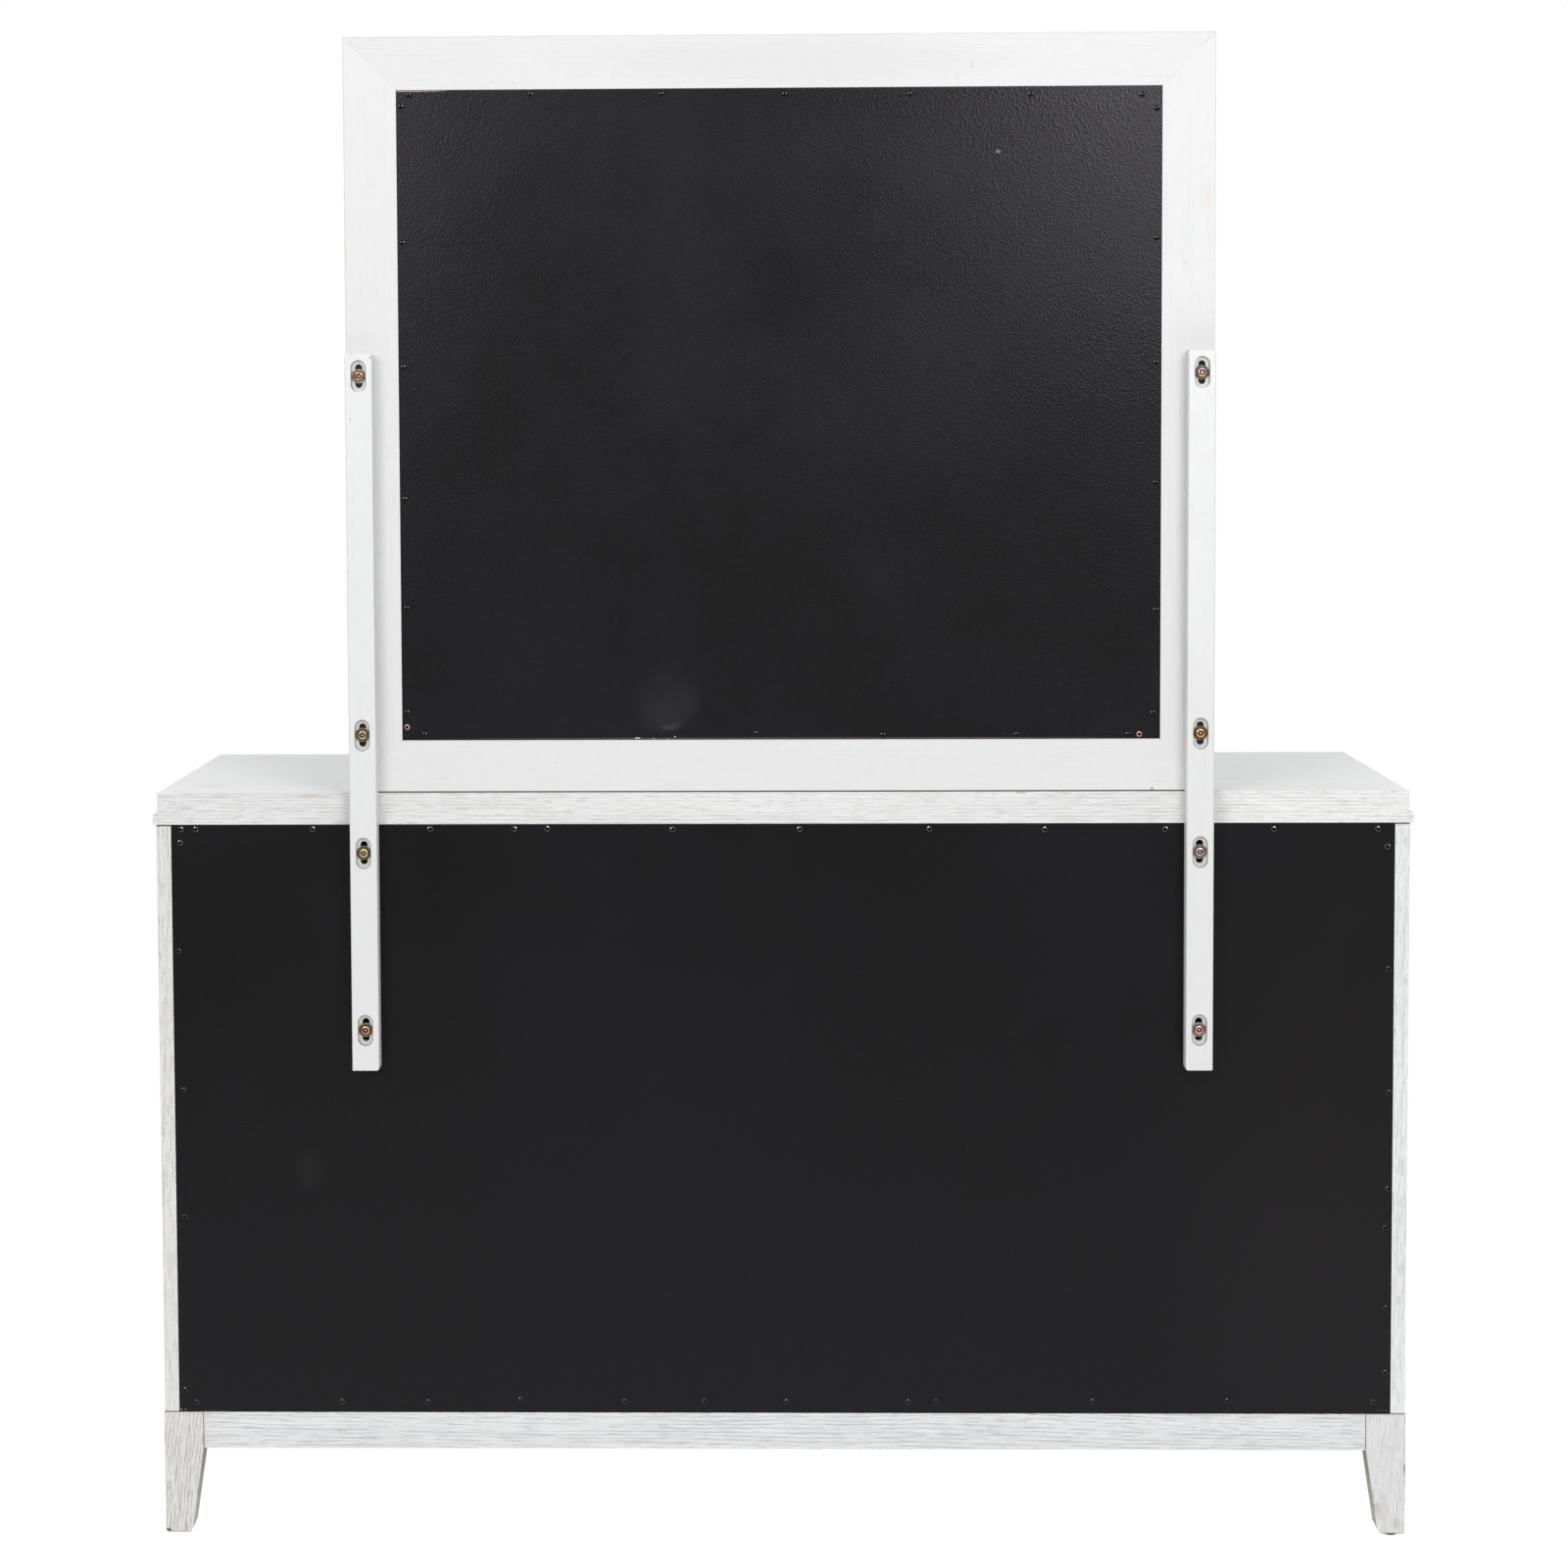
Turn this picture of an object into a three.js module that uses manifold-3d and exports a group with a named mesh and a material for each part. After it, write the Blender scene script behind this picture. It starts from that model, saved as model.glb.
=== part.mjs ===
// A dresser with a mirror: a case of six drawers on short tapered legs, and a framed mirror that
// stands on the rear edge of the top and is held from behind by two slotted supports.
// Millimetres, +Z up. The drawers face -Y and the supports are at the rear, +Y.
// Left and right are as seen from the front, so right is +X.

import * as THREE from "three";
import { mergeVertices } from "three/addons/utils/BufferGeometryUtils.js";
import loadManifold from "manifold-3d";

const wasm = await loadManifold();
wasm.setup();

// Clearances
const seam = 0.3; // between pieces that are glued, screwed or laid against each other
const runningGap = 0.5; // between a drawer and the board that carries it
const guideClearance = 1; // between a drawer's notch and its centre guide, on each side
const holeClearance = 0.3; // between a bolt's shank and its hole, all round
const overrun = 5; // how far a cutting shape runs past the face that it opens

// Top: a board on a moulding that stands proud of it at the sides and the front
const topSideInset = 1.5; // from the case's side to the top board's edge
const topFrontOverhang = 7;
const topSurfaceHeight = 952;
const topBoardThickness = 27.5;
const mouldingThickness = 12.5;
const mouldingProjection = 6;

// Case
const caseWidth = 1578;
const caseDepth = 450;
const caseBottomHeight = 157.5;
const sidePanelThickness = 18.5;
const bottomPanelThickness = 18.5;
const partitionThickness = 18.5;
const backPanelThickness = 5;
const backPanelRecess = 1;
const rearPostWidth = 22;
const rearPostDepth = 30;
const backRailThickness = 20;
const upperBackRailHeight = 67;
const middleBackRailHeight = 50;

// Face frame and what carries the drawers
const faceFrameThickness = 20;
const outerStileWidth = 40;
const centreStileWidth = 40;
const topRailHeight = 22;
const dividerHeight = 22;
const dustPanelThickness = 15;
const guideWidth = 30;
const guideHeight = 10;

// Base: legs that taper on their two inner sides, and aprons between them
const legWidth = 50;
const legDepth = 36;
const legFootWidth = 34.5;
const legFootDepth = 33.5;
const legProjection = 1;
const legChamfer = 1.5;
const legChamferHeight = 1.5;
const glideRadius = 9;
const glideHeight = 3;
const apronHeight = 47.5;
const apronThickness = 20;
const apronRecess = 1.5;

// Mirror: four mitred members with a rabbet that holds the glass and its back board
const mirrorWidth = 1084;
const mirrorHeight = 944.7;
const mirrorFrameDepth = 25;
const mirrorMemberWidth = 66;
const mirrorLipWidth = 12;
const mirrorGlassThickness = 4;
const mirrorBackThickness = 5;
const mirrorBackRecess = 2;

// Supports, with a counterbored slot at each bolt
const supportWidth = 34;
const supportDepth = 24;
const supportInset = 1.5; // from the mirror's side to the support's outer face
const supportEndAboveBolt = 27.5;
const supportEndBelowBolt = 51.5;
const slotWidth = 9;
const slotLength = 29.5;
const counterboreWidth = 18.8;
const counterboreLength = 39.5;
const counterboreDepth = 6;

// Bolts: their heights from the top surface, up into the mirror and down into the case
const upperMirrorBoltRise = 524;
const lowerMirrorBoltRise = 75.5;
const upperCaseBoltDrop = 73.5;
const lowerCaseBoltDrop = 298;
const boltRadius = 3.75;
const boltEngagement = 20;
const washerRadius = 9;
const washerThickness = 1.6;
const boltHeadRadius = 6.3;
const boltHeadHeight = 3.8;
const hexKeyWidth = 5; // across the socket's corners
const hexKeyDepth = 2.4;

// Drawers
const drawerFrontGap = 2;
const drawerFrontThickness = 19;
const drawerWallThickness = 12;
const drawerBottomThickness = 5;
const drawerBottomRaise = 13; // from the lower edge of the sides to the bottom board
const drawerSideClearance = 4;
const drawerTopClearance = 24;
const drawerRearClearance = 12;

// Pulls: a round bar on two posts
const pullLength = 170;
const pullPostSpacing = 128;
const pullBarRadius = 5.5;
const pullPostRadius = 4;
const pullProjection = 31;
const pullBaseRadius = 8;
const pullBaseThickness = 3;

// Counts of flats that stand for round shapes
const boltSides = 12;
const slotArcSegments = 6;
const pullSides = 12;
const glideSides = 16;
const hexagonSides = 6;

const rowNames = ["bottom", "middle", "top"];
const sides = [
  { name: "left", sign: -1 },
  { name: "right", sign: 1 },
];

// Sizes, heights and places that follow from the sizes above
const topWidth = caseWidth - 2 * topSideInset;
const topDepth = caseDepth + topFrontOverhang;
const caseTopHeight = topSurfaceHeight - topBoardThickness - mouldingThickness;
const caseFloorHeight = caseBottomHeight + bottomPanelThickness;
const rowCount = rowNames.length;
const openingsHeight = caseTopHeight - topRailHeight - caseFloorHeight - (rowCount - 1) * dividerHeight;
const openingHeight = openingsHeight / rowCount;
const openingWidth = (caseWidth - centreStileWidth) / 2 - outerStileWidth;
const openingCentre = (centreStileWidth + openingWidth) / 2;
const interiorHalfWidth = caseWidth / 2 - sidePanelThickness;
const backPanelFront = -backPanelRecess - backPanelThickness;
const backRailFront = backPanelFront - seam - backRailThickness;
const frameBack = -caseDepth + faceFrameThickness;
const upperCaseBoltHeight = topSurfaceHeight - upperCaseBoltDrop;
const lowerCaseBoltHeight = topSurfaceHeight - lowerCaseBoltDrop;
const boltX = mirrorWidth / 2 - supportInset - supportWidth / 2;
const mirrorBottomHeight = topSurfaceHeight + seam;
const boltSeatRear = seam + supportDepth - counterboreDepth + seam;

const finishes = {
  whitePaint: { color: 0xe9eaea, roughness: 0.5, metalness: 0 },
  washedWood: { color: 0xe0dfdb, roughness: 0.7, metalness: 0 },
  blackBoard: { color: 0x232224, roughness: 0.6, metalness: 0 },
  rawWood: { color: 0xd9c29a, roughness: 0.75, metalness: 0 },
  mirrorGlass: { color: 0xdfe6ea, roughness: 0.05, metalness: 1 },
  darkMetal: { color: 0x2b2724, roughness: 0.45, metalness: 0.9 },
  antiqueBrass: { color: 0x9a7b52, roughness: 0.35, metalness: 1 },
};

function meshOf(name, geometry, finish) {
  const mesh = new THREE.Mesh(geometry, new THREE.MeshStandardMaterial(finishes[finish]));
  mesh.name = name;
  return mesh;
}

function middle(span) {
  return (span[0] + span[1]) / 2;
}

// The span from inner to outer on one side of the middle plane.
function sideSpan(sign, inner, outer) {
  return sign > 0 ? [inner, outer] : [-outer, -inner];
}

// The span of a size that runs from zero towards the middle of the object.
function inwardSpan(sign, size) {
  return sign > 0 ? [-size, 0] : [0, size];
}

function spanBox(x, y, z) {
  const geometry = new THREE.BoxGeometry(x[1] - x[0], y[1] - y[0], z[1] - z[0]);
  return geometry.translate(middle(x), middle(y), middle(z));
}

// A board is a box placed by its middle.
function board(name, x, y, z, finish) {
  const geometry = new THREE.BoxGeometry(x[1] - x[0], y[1] - y[0], z[1] - z[0]);
  const mesh = meshOf(name, geometry, finish);
  mesh.position.set(middle(x), middle(y), middle(z));
  return mesh;
}

function shapeOf(points) {
  return new THREE.Shape(points.map(([x, z]) => new THREE.Vector2(x, z)));
}

// A shape drawn in X and Z, extruded over a span along Y.
function extrudeAlongY(shape, y) {
  const geometry = new THREE.ExtrudeGeometry(shape, {
    depth: y[1] - y[0],
    bevelEnabled: false,
    curveSegments: slotArcSegments,
  });
  return geometry.rotateX(Math.PI / 2).translate(0, y[1], 0);
}

function cylinderAlongY(radius, y, sideCount, x, z) {
  const geometry = new THREE.CylinderGeometry(radius, radius, y[1] - y[0], sideCount);
  return geometry.translate(x, middle(y), z);
}

// Outline of a slot with round ends, its length along Z.
function slotShape(width, length, height) {
  const radius = width / 2;
  const straight = length / 2 - radius;
  const shape = new THREE.Shape();
  shape.moveTo(radius, height - straight);
  shape.lineTo(radius, height + straight);
  shape.absarc(0, height + straight, radius, 0, Math.PI, false);
  shape.lineTo(-radius, height - straight);
  shape.absarc(0, height - straight, radius, Math.PI, 2 * Math.PI, false);
  return shape;
}

// A closed solid through level rectangles, lowest first.
function stackRectangles(sections) {
  const cornerCount = 4;
  const positions = [];
  for (const { x, y, z } of sections) {
    positions.push(x[0], y[0], z, x[1], y[0], z, x[1], y[1], z, x[0], y[1], z);
  }
  const top = cornerCount * (sections.length - 1);
  const indices = [0, 2, 1, 0, 3, 2, top, top + 1, top + 2, top, top + 2, top + 3];
  for (let level = 0; level < top; level += cornerCount) {
    for (let corner = 0; corner < cornerCount; corner += 1) {
      const here = level + corner;
      const next = level + ((corner + 1) % cornerCount);
      indices.push(here, next, next + cornerCount, here, next + cornerCount, here + cornerCount);
    }
  }
  const geometry = new THREE.BufferGeometry();
  geometry.setAttribute("position", new THREE.Float32BufferAttribute(positions, 3));
  geometry.setIndex(indices);
  return geometry;
}

// Solids for joining and cutting
function toSolid(geometry) {
  const bare = geometry.clone();
  bare.deleteAttribute("normal");
  bare.deleteAttribute("uv");
  const merged = mergeVertices(bare);
  const index = merged.index.array;
  const triangles = [];
  for (let i = 0; i < index.length; i += 3) {
    const [a, b, c] = [index[i], index[i + 1], index[i + 2]];
    if (a !== b && b !== c && c !== a) {
      triangles.push(a, b, c);
    }
  }
  return new wasm.Manifold(
    new wasm.Mesh({
      numProp: 3,
      vertProperties: merged.getAttribute("position").array,
      triVerts: new Uint32Array(triangles),
    })
  );
}

function toGeometry(solid) {
  const mesh = solid.getMesh();
  const geometry = new THREE.BufferGeometry();
  geometry.setAttribute("position", new THREE.BufferAttribute(mesh.vertProperties, 3));
  geometry.setIndex(new THREE.BufferAttribute(mesh.triVerts, 1));
  return geometry;
}

function cut(geometry, tools) {
  return toGeometry(tools.reduce((solid, tool) => solid.subtract(toSolid(tool)), toSolid(geometry)));
}

function join(geometries) {
  return toGeometry(geometries.map(toSolid).reduce((solid, other) => solid.add(other)));
}

// A bolt's hole, from behind the surface at rear to a little past the bolt's end.
function boltHole(x, z, rear) {
  const y = [-boltEngagement - seam, rear + overrun];
  return cylinderAlongY(boltRadius + holeClearance, y, boltSides, x, z);
}

function makeTop() {
  const group = new THREE.Group();
  const mouldingWidth = topWidth + 2 * mouldingProjection;
  const mouldingDepth = topDepth + mouldingProjection;
  const mouldingTop = topSurfaceHeight - topBoardThickness - seam;
  group.add(
    board(
      "top_board",
      [-topWidth / 2, topWidth / 2],
      [-topDepth, 0],
      [topSurfaceHeight - topBoardThickness, topSurfaceHeight],
      "washedWood"
    ),
    board(
      "top_moulding",
      [-mouldingWidth / 2, mouldingWidth / 2],
      [-mouldingDepth, 0],
      [caseTopHeight, mouldingTop],
      "washedWood"
    )
  );
  return group;
}

// Height of a row's opening above the floor, counted from the bottom row.
function openingBottom(row) {
  return caseFloorHeight + row * (openingHeight + dividerHeight);
}

// A board with a centre guide standing on it, drawn as one outline in X and Z.
function guidedBoard(name, x, y, z, guideCentre) {
  const guide = [guideCentre - guideWidth / 2, guideCentre + guideWidth / 2];
  const outline = [
    [x[0], z[0]],
    [x[1], z[0]],
    [x[1], z[1]],
    [guide[1], z[1]],
    [guide[1], z[1] + guideHeight],
    [guide[0], z[1] + guideHeight],
    [guide[0], z[1]],
    [x[0], z[1]],
  ];
  return meshOf(name, extrudeAlongY(shapeOf(outline), y), "rawWood");
}

function makeFaceFrame() {
  const y = [-caseDepth, frameBack];
  const z = [caseBottomHeight, caseTopHeight - seam];
  const openings = [];
  for (let row = 0; row < rowCount; row += 1) {
    const bottom = openingBottom(row);
    for (const { sign } of sides) {
      const x = sideSpan(sign, centreStileWidth / 2, centreStileWidth / 2 + openingWidth);
      openings.push(spanBox(x, [y[0] - overrun, y[1] + overrun], [bottom, bottom + openingHeight]));
    }
  }
  return meshOf("face_frame", cut(spanBox([-caseWidth / 2, caseWidth / 2], y, z), openings), "whitePaint");
}

function makePartition() {
  const x = [-partitionThickness / 2, partitionThickness / 2];
  const y = [frameBack + seam, backPanelFront - seam];
  const z = [caseFloorHeight + seam, caseTopHeight - seam];
  const acrossNotch = [x[0] - overrun, x[1] + overrun];
  const notchDepth = [backRailFront - seam, y[1] + overrun];
  const upperNotch = [caseTopHeight - upperBackRailHeight - seam, z[1] + overrun];
  const middleNotch = [
    lowerCaseBoltHeight - middleBackRailHeight / 2 - seam,
    lowerCaseBoltHeight + middleBackRailHeight / 2 + seam,
  ];
  const notches = [upperNotch, middleNotch].map((span) => spanBox(acrossNotch, notchDepth, span));
  return meshOf("centre_partition", cut(spanBox(x, y, z), notches), "rawWood");
}

function makeBackRail(name, z, boltHeight) {
  const halfWidth = interiorHalfWidth - rearPostWidth - 2 * seam;
  const rear = backPanelFront - seam;
  const rail = spanBox([-halfWidth, halfWidth], [backRailFront, rear], z);
  const holes = sides.map(({ sign }) => boltHole(sign * boltX, boltHeight, rear));
  return meshOf(name, cut(rail, holes), "rawWood");
}

function makeBackPanel() {
  const halfWidth = interiorHalfWidth - seam;
  const panel = spanBox(
    [-halfWidth, halfWidth],
    [backPanelFront, -backPanelRecess],
    [caseBottomHeight, caseTopHeight - seam]
  );
  const holes = [];
  for (const { sign } of sides) {
    for (const height of [upperCaseBoltHeight, lowerCaseBoltHeight]) {
      holes.push(boltHole(sign * boltX, height, -backPanelRecess));
    }
  }
  return meshOf("back_panel", cut(panel, holes), "blackBoard");
}

function makeCase() {
  const group = new THREE.Group();
  const panelRear = backPanelFront - seam;
  const panelHalfWidth = interiorHalfWidth - seam;
  for (const { name, sign } of sides) {
    const side = sideSpan(sign, interiorHalfWidth, caseWidth / 2);
    const height = [caseBottomHeight, caseTopHeight - seam];
    group.add(board(`side_panel_${name}`, side, [frameBack + seam, 0], height, "whitePaint"));
    const postOuter = interiorHalfWidth - seam;
    const post = sideSpan(sign, postOuter - rearPostWidth, postOuter);
    const postDepth = [panelRear - rearPostDepth, panelRear];
    const postHeight = [caseFloorHeight + seam, caseTopHeight - seam];
    group.add(board(`rear_post_${name}`, post, postDepth, postHeight, "rawWood"));
  }
  const floorDepth = [frameBack + seam, panelRear];
  const floorHeight = [caseBottomHeight, caseFloorHeight];
  group.add(board("bottom_panel", [-panelHalfWidth, panelHalfWidth], floorDepth, floorHeight, "rawWood"));
  for (const { name, sign } of sides) {
    const guide = sideSpan(sign, openingCentre - guideWidth / 2, openingCentre + guideWidth / 2);
    const guideRise = [caseFloorHeight + seam, caseFloorHeight + guideHeight];
    group.add(board(`bottom_guide_${name}`, guide, floorDepth, guideRise, "rawWood"));
  }
  const middleRail = [
    lowerCaseBoltHeight - middleBackRailHeight / 2,
    lowerCaseBoltHeight + middleBackRailHeight / 2,
  ];
  const upperRail = [caseTopHeight - upperBackRailHeight, caseTopHeight - seam];
  group.add(
    makeBackPanel(),
    makeBackRail("back_rail_upper", upperRail, upperCaseBoltHeight),
    makeBackRail("back_rail_middle", middleRail, lowerCaseBoltHeight),
    makePartition(),
    makeFaceFrame()
  );
  return group;
}

// Dust panels lie behind the dividers, above the two lower rows, and carry the drawers over them.
function makeDustPanels() {
  const group = new THREE.Group();
  const levels = [
    { name: "lower", row: 1, rear: backPanelFront - seam },
    { name: "upper", row: 2, rear: backRailFront - seam },
  ];
  const inner = partitionThickness / 2 + seam;
  const outer = interiorHalfWidth - rearPostWidth - 2 * seam;
  for (const level of levels) {
    for (const { name, sign } of sides) {
      const top = openingBottom(level.row);
      group.add(
        guidedBoard(
          `dust_panel_${level.name}_${name}`,
          sideSpan(sign, inner, outer),
          [frameBack + seam, level.rear],
          [top - dustPanelThickness, top],
          sign * openingCentre
        )
      );
    }
  }
  return group;
}

// A leg's local origin is on the floor below the outer corner of its post.
function legGeometry(xSign, ySign) {
  const top = caseBottomHeight - seam;
  const taperTop = caseBottomHeight - apronHeight;
  const footTop = glideHeight + legChamferHeight;
  const footWidth = legFootWidth - legChamfer;
  const footDepth = legFootDepth - legChamfer;
  const levels = [
    { width: footWidth, depth: footDepth, z: glideHeight },
    { width: legFootWidth, depth: legFootDepth, z: footTop },
    { width: legWidth, depth: legDepth, z: taperTop },
    { width: legWidth, depth: legDepth, z: top },
  ];
  const post = stackRectangles(
    levels.map(({ width, depth, z }) => ({ x: inwardSpan(xSign, width), y: inwardSpan(ySign, depth), z }))
  );
  const glideTop = glideHeight + legChamferHeight / 2;
  const glide = new THREE.CylinderGeometry(glideRadius, glideRadius, glideTop, glideSides);
  glide.rotateX(Math.PI / 2);
  glide.translate((-xSign * footWidth) / 2, (-ySign * footDepth) / 2, glideTop / 2);
  return join([post, glide]);
}

function makeBase() {
  const group = new THREE.Group();
  const legOuter = caseWidth / 2 + legProjection;
  const ends = [
    { name: "front", sign: -1, y: -caseDepth - legProjection },
    { name: "rear", sign: 1, y: 0 },
  ];
  const apronHeights = [caseBottomHeight - apronHeight, caseBottomHeight - seam];
  const acrossSpan = legOuter - legWidth - seam;
  for (const end of ends) {
    for (const side of sides) {
      const leg = meshOf(`leg_${end.name}_${side.name}`, legGeometry(side.sign, end.sign), "washedWood");
      leg.position.set(side.sign * legOuter, end.y, 0);
      group.add(leg);
    }
    const outerFace = end.y - end.sign * apronRecess;
    const innerFace = outerFace - end.sign * apronThickness;
    const depth = [Math.min(outerFace, innerFace), Math.max(outerFace, innerFace)];
    group.add(board(`apron_${end.name}`, [-acrossSpan, acrossSpan], depth, apronHeights, "washedWood"));
  }
  const apronOuter = legOuter - apronRecess;
  const alongSpan = [ends[0].y + legDepth + seam, ends[1].y - legDepth - seam];
  for (const { name, sign } of sides) {
    const thickness = sideSpan(sign, apronOuter - apronThickness, apronOuter);
    group.add(board(`apron_${name}`, thickness, alongSpan, apronHeights, "washedWood"));
  }
  return group;
}

// A mirror member lies along X with its outer edge at zero height and its rear face at zero depth.
function mirrorMemberGeometry(length, rabbetDepth, holePlaces) {
  const fullWidth = mirrorMemberWidth + mirrorLipWidth;
  const halfLength = length / 2 - seam / Math.SQRT2;
  const outline = [
    [-halfLength, 0],
    [halfLength, 0],
    [halfLength - fullWidth, fullWidth],
    [fullWidth - halfLength, fullWidth],
  ];
  const rabbet = spanBox(
    [-halfLength, halfLength],
    [-rabbetDepth, overrun],
    [mirrorMemberWidth, fullWidth + overrun]
  );
  const boltInset = mirrorWidth / 2 - boltX;
  const holes = holePlaces.map((x) => boltHole(x, boltInset, 0));
  return cut(extrudeAlongY(shapeOf(outline), [-mirrorFrameDepth, 0]), [rabbet, ...holes]);
}

// The mirror's local origin is at the middle of its lower rear edge.
function makeMirror() {
  const group = new THREE.Group();
  group.position.z = mirrorBottomHeight;
  const glassRear = -mirrorBackRecess - mirrorBackThickness - seam;
  const rabbetDepth = mirrorGlassThickness + seam - glassRear;
  const boltPlaces = [lowerMirrorBoltRise, upperMirrorBoltRise].map((rise) => rise - seam - mirrorHeight / 2);
  const members = [
    { name: "bottom", length: mirrorWidth, turn: 0, x: 0, z: 0, holes: [] },
    { name: "top", length: mirrorWidth, turn: Math.PI, x: 0, z: mirrorHeight, holes: [] },
    {
      name: "right",
      length: mirrorHeight,
      turn: -Math.PI / 2,
      x: mirrorWidth / 2,
      z: mirrorHeight / 2,
      holes: boltPlaces,
    },
    {
      name: "left",
      length: mirrorHeight,
      turn: Math.PI / 2,
      x: -mirrorWidth / 2,
      z: mirrorHeight / 2,
      holes: boltPlaces.map((place) => -place),
    },
  ];
  for (const member of members) {
    const geometry = mirrorMemberGeometry(member.length, rabbetDepth, member.holes);
    const mesh = meshOf(`mirror_frame_${member.name}`, geometry, "whitePaint");
    mesh.position.set(member.x, 0, member.z);
    mesh.rotation.y = member.turn;
    group.add(mesh);
  }
  const halfWidth = mirrorWidth / 2 - mirrorMemberWidth - seam;
  const x = [-halfWidth, halfWidth];
  const z = [mirrorMemberWidth + seam, mirrorHeight - mirrorMemberWidth - seam];
  const backDepth = [-mirrorBackRecess - mirrorBackThickness, -mirrorBackRecess];
  group.add(
    board("mirror_glass", x, [glassRear - mirrorGlassThickness, glassRear], z, "mirrorGlass"),
    board("mirror_back_panel", x, backDepth, z, "blackBoard")
  );
  return group;
}

function makeSupports() {
  const group = new THREE.Group();
  const bottom = lowerCaseBoltHeight - supportEndBelowBolt;
  const length = topSurfaceHeight + upperMirrorBoltRise + supportEndAboveBolt - bottom;
  group.position.set(0, seam, bottom);
  const boltHeights = [
    lowerCaseBoltHeight,
    upperCaseBoltHeight,
    topSurfaceHeight + lowerMirrorBoltRise,
    topSurfaceHeight + upperMirrorBoltRise,
  ];
  for (const { name, sign } of sides) {
    const bar = spanBox([-supportWidth / 2, supportWidth / 2], [0, supportDepth], [0, length]);
    const cuts = [];
    for (const height of boltHeights) {
      const through = slotShape(slotWidth, slotLength, height - bottom);
      const recess = slotShape(counterboreWidth, counterboreLength, height - bottom);
      cuts.push(extrudeAlongY(through, [-overrun, supportDepth + overrun]));
      cuts.push(extrudeAlongY(recess, [supportDepth - counterboreDepth, supportDepth + overrun]));
    }
    const support = meshOf(`support_${name}`, cut(bar, cuts), "whitePaint");
    support.position.x = sign * boltX;
    group.add(support);
  }
  return group;
}

// A bolt's local origin is where its washer sits, with the shank along -Y.
function boltGeometry() {
  const headBase = washerThickness;
  const headTop = washerThickness + boltHeadHeight;
  const shankLength = boltSeatRear + boltEngagement;
  const domeRadius_share = 0.72;
  const domeHeight_share = 0.75;
  const profile = [
    [0, -shankLength],
    [boltRadius, -shankLength],
    [boltRadius, 0],
    [washerRadius, 0],
    [washerRadius, washerThickness],
    [boltHeadRadius, headBase],
    [boltHeadRadius * domeRadius_share, headBase + boltHeadHeight * domeHeight_share],
    [hexKeyWidth / 2 + seam, headTop],
    [0, headTop],
  ];
  const points = profile.map(([radius, y]) => new THREE.Vector2(radius, y));
  const body = new THREE.LatheGeometry(points, boltSides);
  const socketDepth = [headTop - hexKeyDepth, headTop + overrun];
  const socket = cylinderAlongY(hexKeyWidth / 2, socketDepth, hexagonSides, 0, 0);
  return cut(body, [socket]);
}

function makeBolts() {
  const group = new THREE.Group();
  const places = [
    { name: "case_bolt_lower", z: lowerCaseBoltHeight },
    { name: "case_bolt_upper", z: upperCaseBoltHeight },
    { name: "mirror_bolt_lower", z: topSurfaceHeight + lowerMirrorBoltRise },
    { name: "mirror_bolt_upper", z: topSurfaceHeight + upperMirrorBoltRise },
  ];
  for (const place of places) {
    for (const { name, sign } of sides) {
      const bolt = meshOf(`${place.name}_${name}`, boltGeometry(), "antiqueBrass");
      bolt.position.set(sign * boltX, boltSeatRear, place.z);
      group.add(bolt);
    }
  }
  return group;
}

// A drawer's box is one tray: its sides and ends run down past the bottom board, and its ends
// are notched over the centre guide.
function drawerBoxGeometry() {
  const halfWidth = openingWidth / 2 - drawerSideClearance;
  const depth = caseDepth + backRailFront - drawerRearClearance - drawerFrontThickness - seam;
  const front = drawerFrontThickness + seam;
  const y = [front, front + depth];
  const z = [runningGap, openingHeight - drawerTopClearance];
  const innerX = [-halfWidth + drawerWallThickness, halfWidth - drawerWallThickness];
  const innerY = [y[0] + drawerWallThickness, y[1] - drawerWallThickness];
  const boardBottom = z[0] + drawerBottomRaise;
  const inside = spanBox(innerX, innerY, [boardBottom + drawerBottomThickness, z[1] + overrun]);
  const underside = spanBox(innerX, innerY, [z[0] - overrun, boardBottom]);
  const notchHalfWidth = guideWidth / 2 + guideClearance;
  const notch = spanBox(
    [-notchHalfWidth, notchHalfWidth],
    [y[0] - overrun, y[1] + overrun],
    [z[0] - overrun, guideHeight + guideClearance]
  );
  return cut(spanBox([-halfWidth, halfWidth], y, z), [inside, underside, notch]);
}

// A pull's local origin is on the drawer's face, with the bar along X in front of it.
function pullGeometry() {
  const barY = -pullProjection + pullBarRadius;
  const bar = new THREE.CylinderGeometry(pullBarRadius, pullBarRadius, pullLength, pullSides);
  bar.rotateZ(Math.PI / 2).translate(0, barY, 0);
  const pieces = [bar];
  for (const { sign } of sides) {
    const x = (sign * pullPostSpacing) / 2;
    pieces.push(cylinderAlongY(pullPostRadius, [barY, -pullBaseThickness / 2], pullSides, x, 0));
    pieces.push(cylinderAlongY(pullBaseRadius, [-pullBaseThickness, -seam], pullSides, x, 0));
  }
  return join(pieces);
}

// A drawer's local origin is at the middle of its opening's lower edge, at the case's front.
function makeDrawer(row, side) {
  const group = new THREE.Group();
  group.position.set(side.sign * openingCentre, -caseDepth, openingBottom(row));
  const suffix = `${rowNames[row]}_${side.name}`;
  const halfWidth = openingWidth / 2 - drawerFrontGap;
  const height = [drawerFrontGap, openingHeight - drawerFrontGap];
  const front = board(
    `drawer_front_${suffix}`,
    [-halfWidth, halfWidth],
    [0, drawerFrontThickness],
    height,
    "whitePaint"
  );
  const box = meshOf(`drawer_box_${suffix}`, drawerBoxGeometry(), "rawWood");
  const pull = meshOf(`drawer_pull_${suffix}`, pullGeometry(), "darkMetal");
  pull.position.z = middle(height);
  group.add(front, box, pull);
  return group;
}

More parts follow.
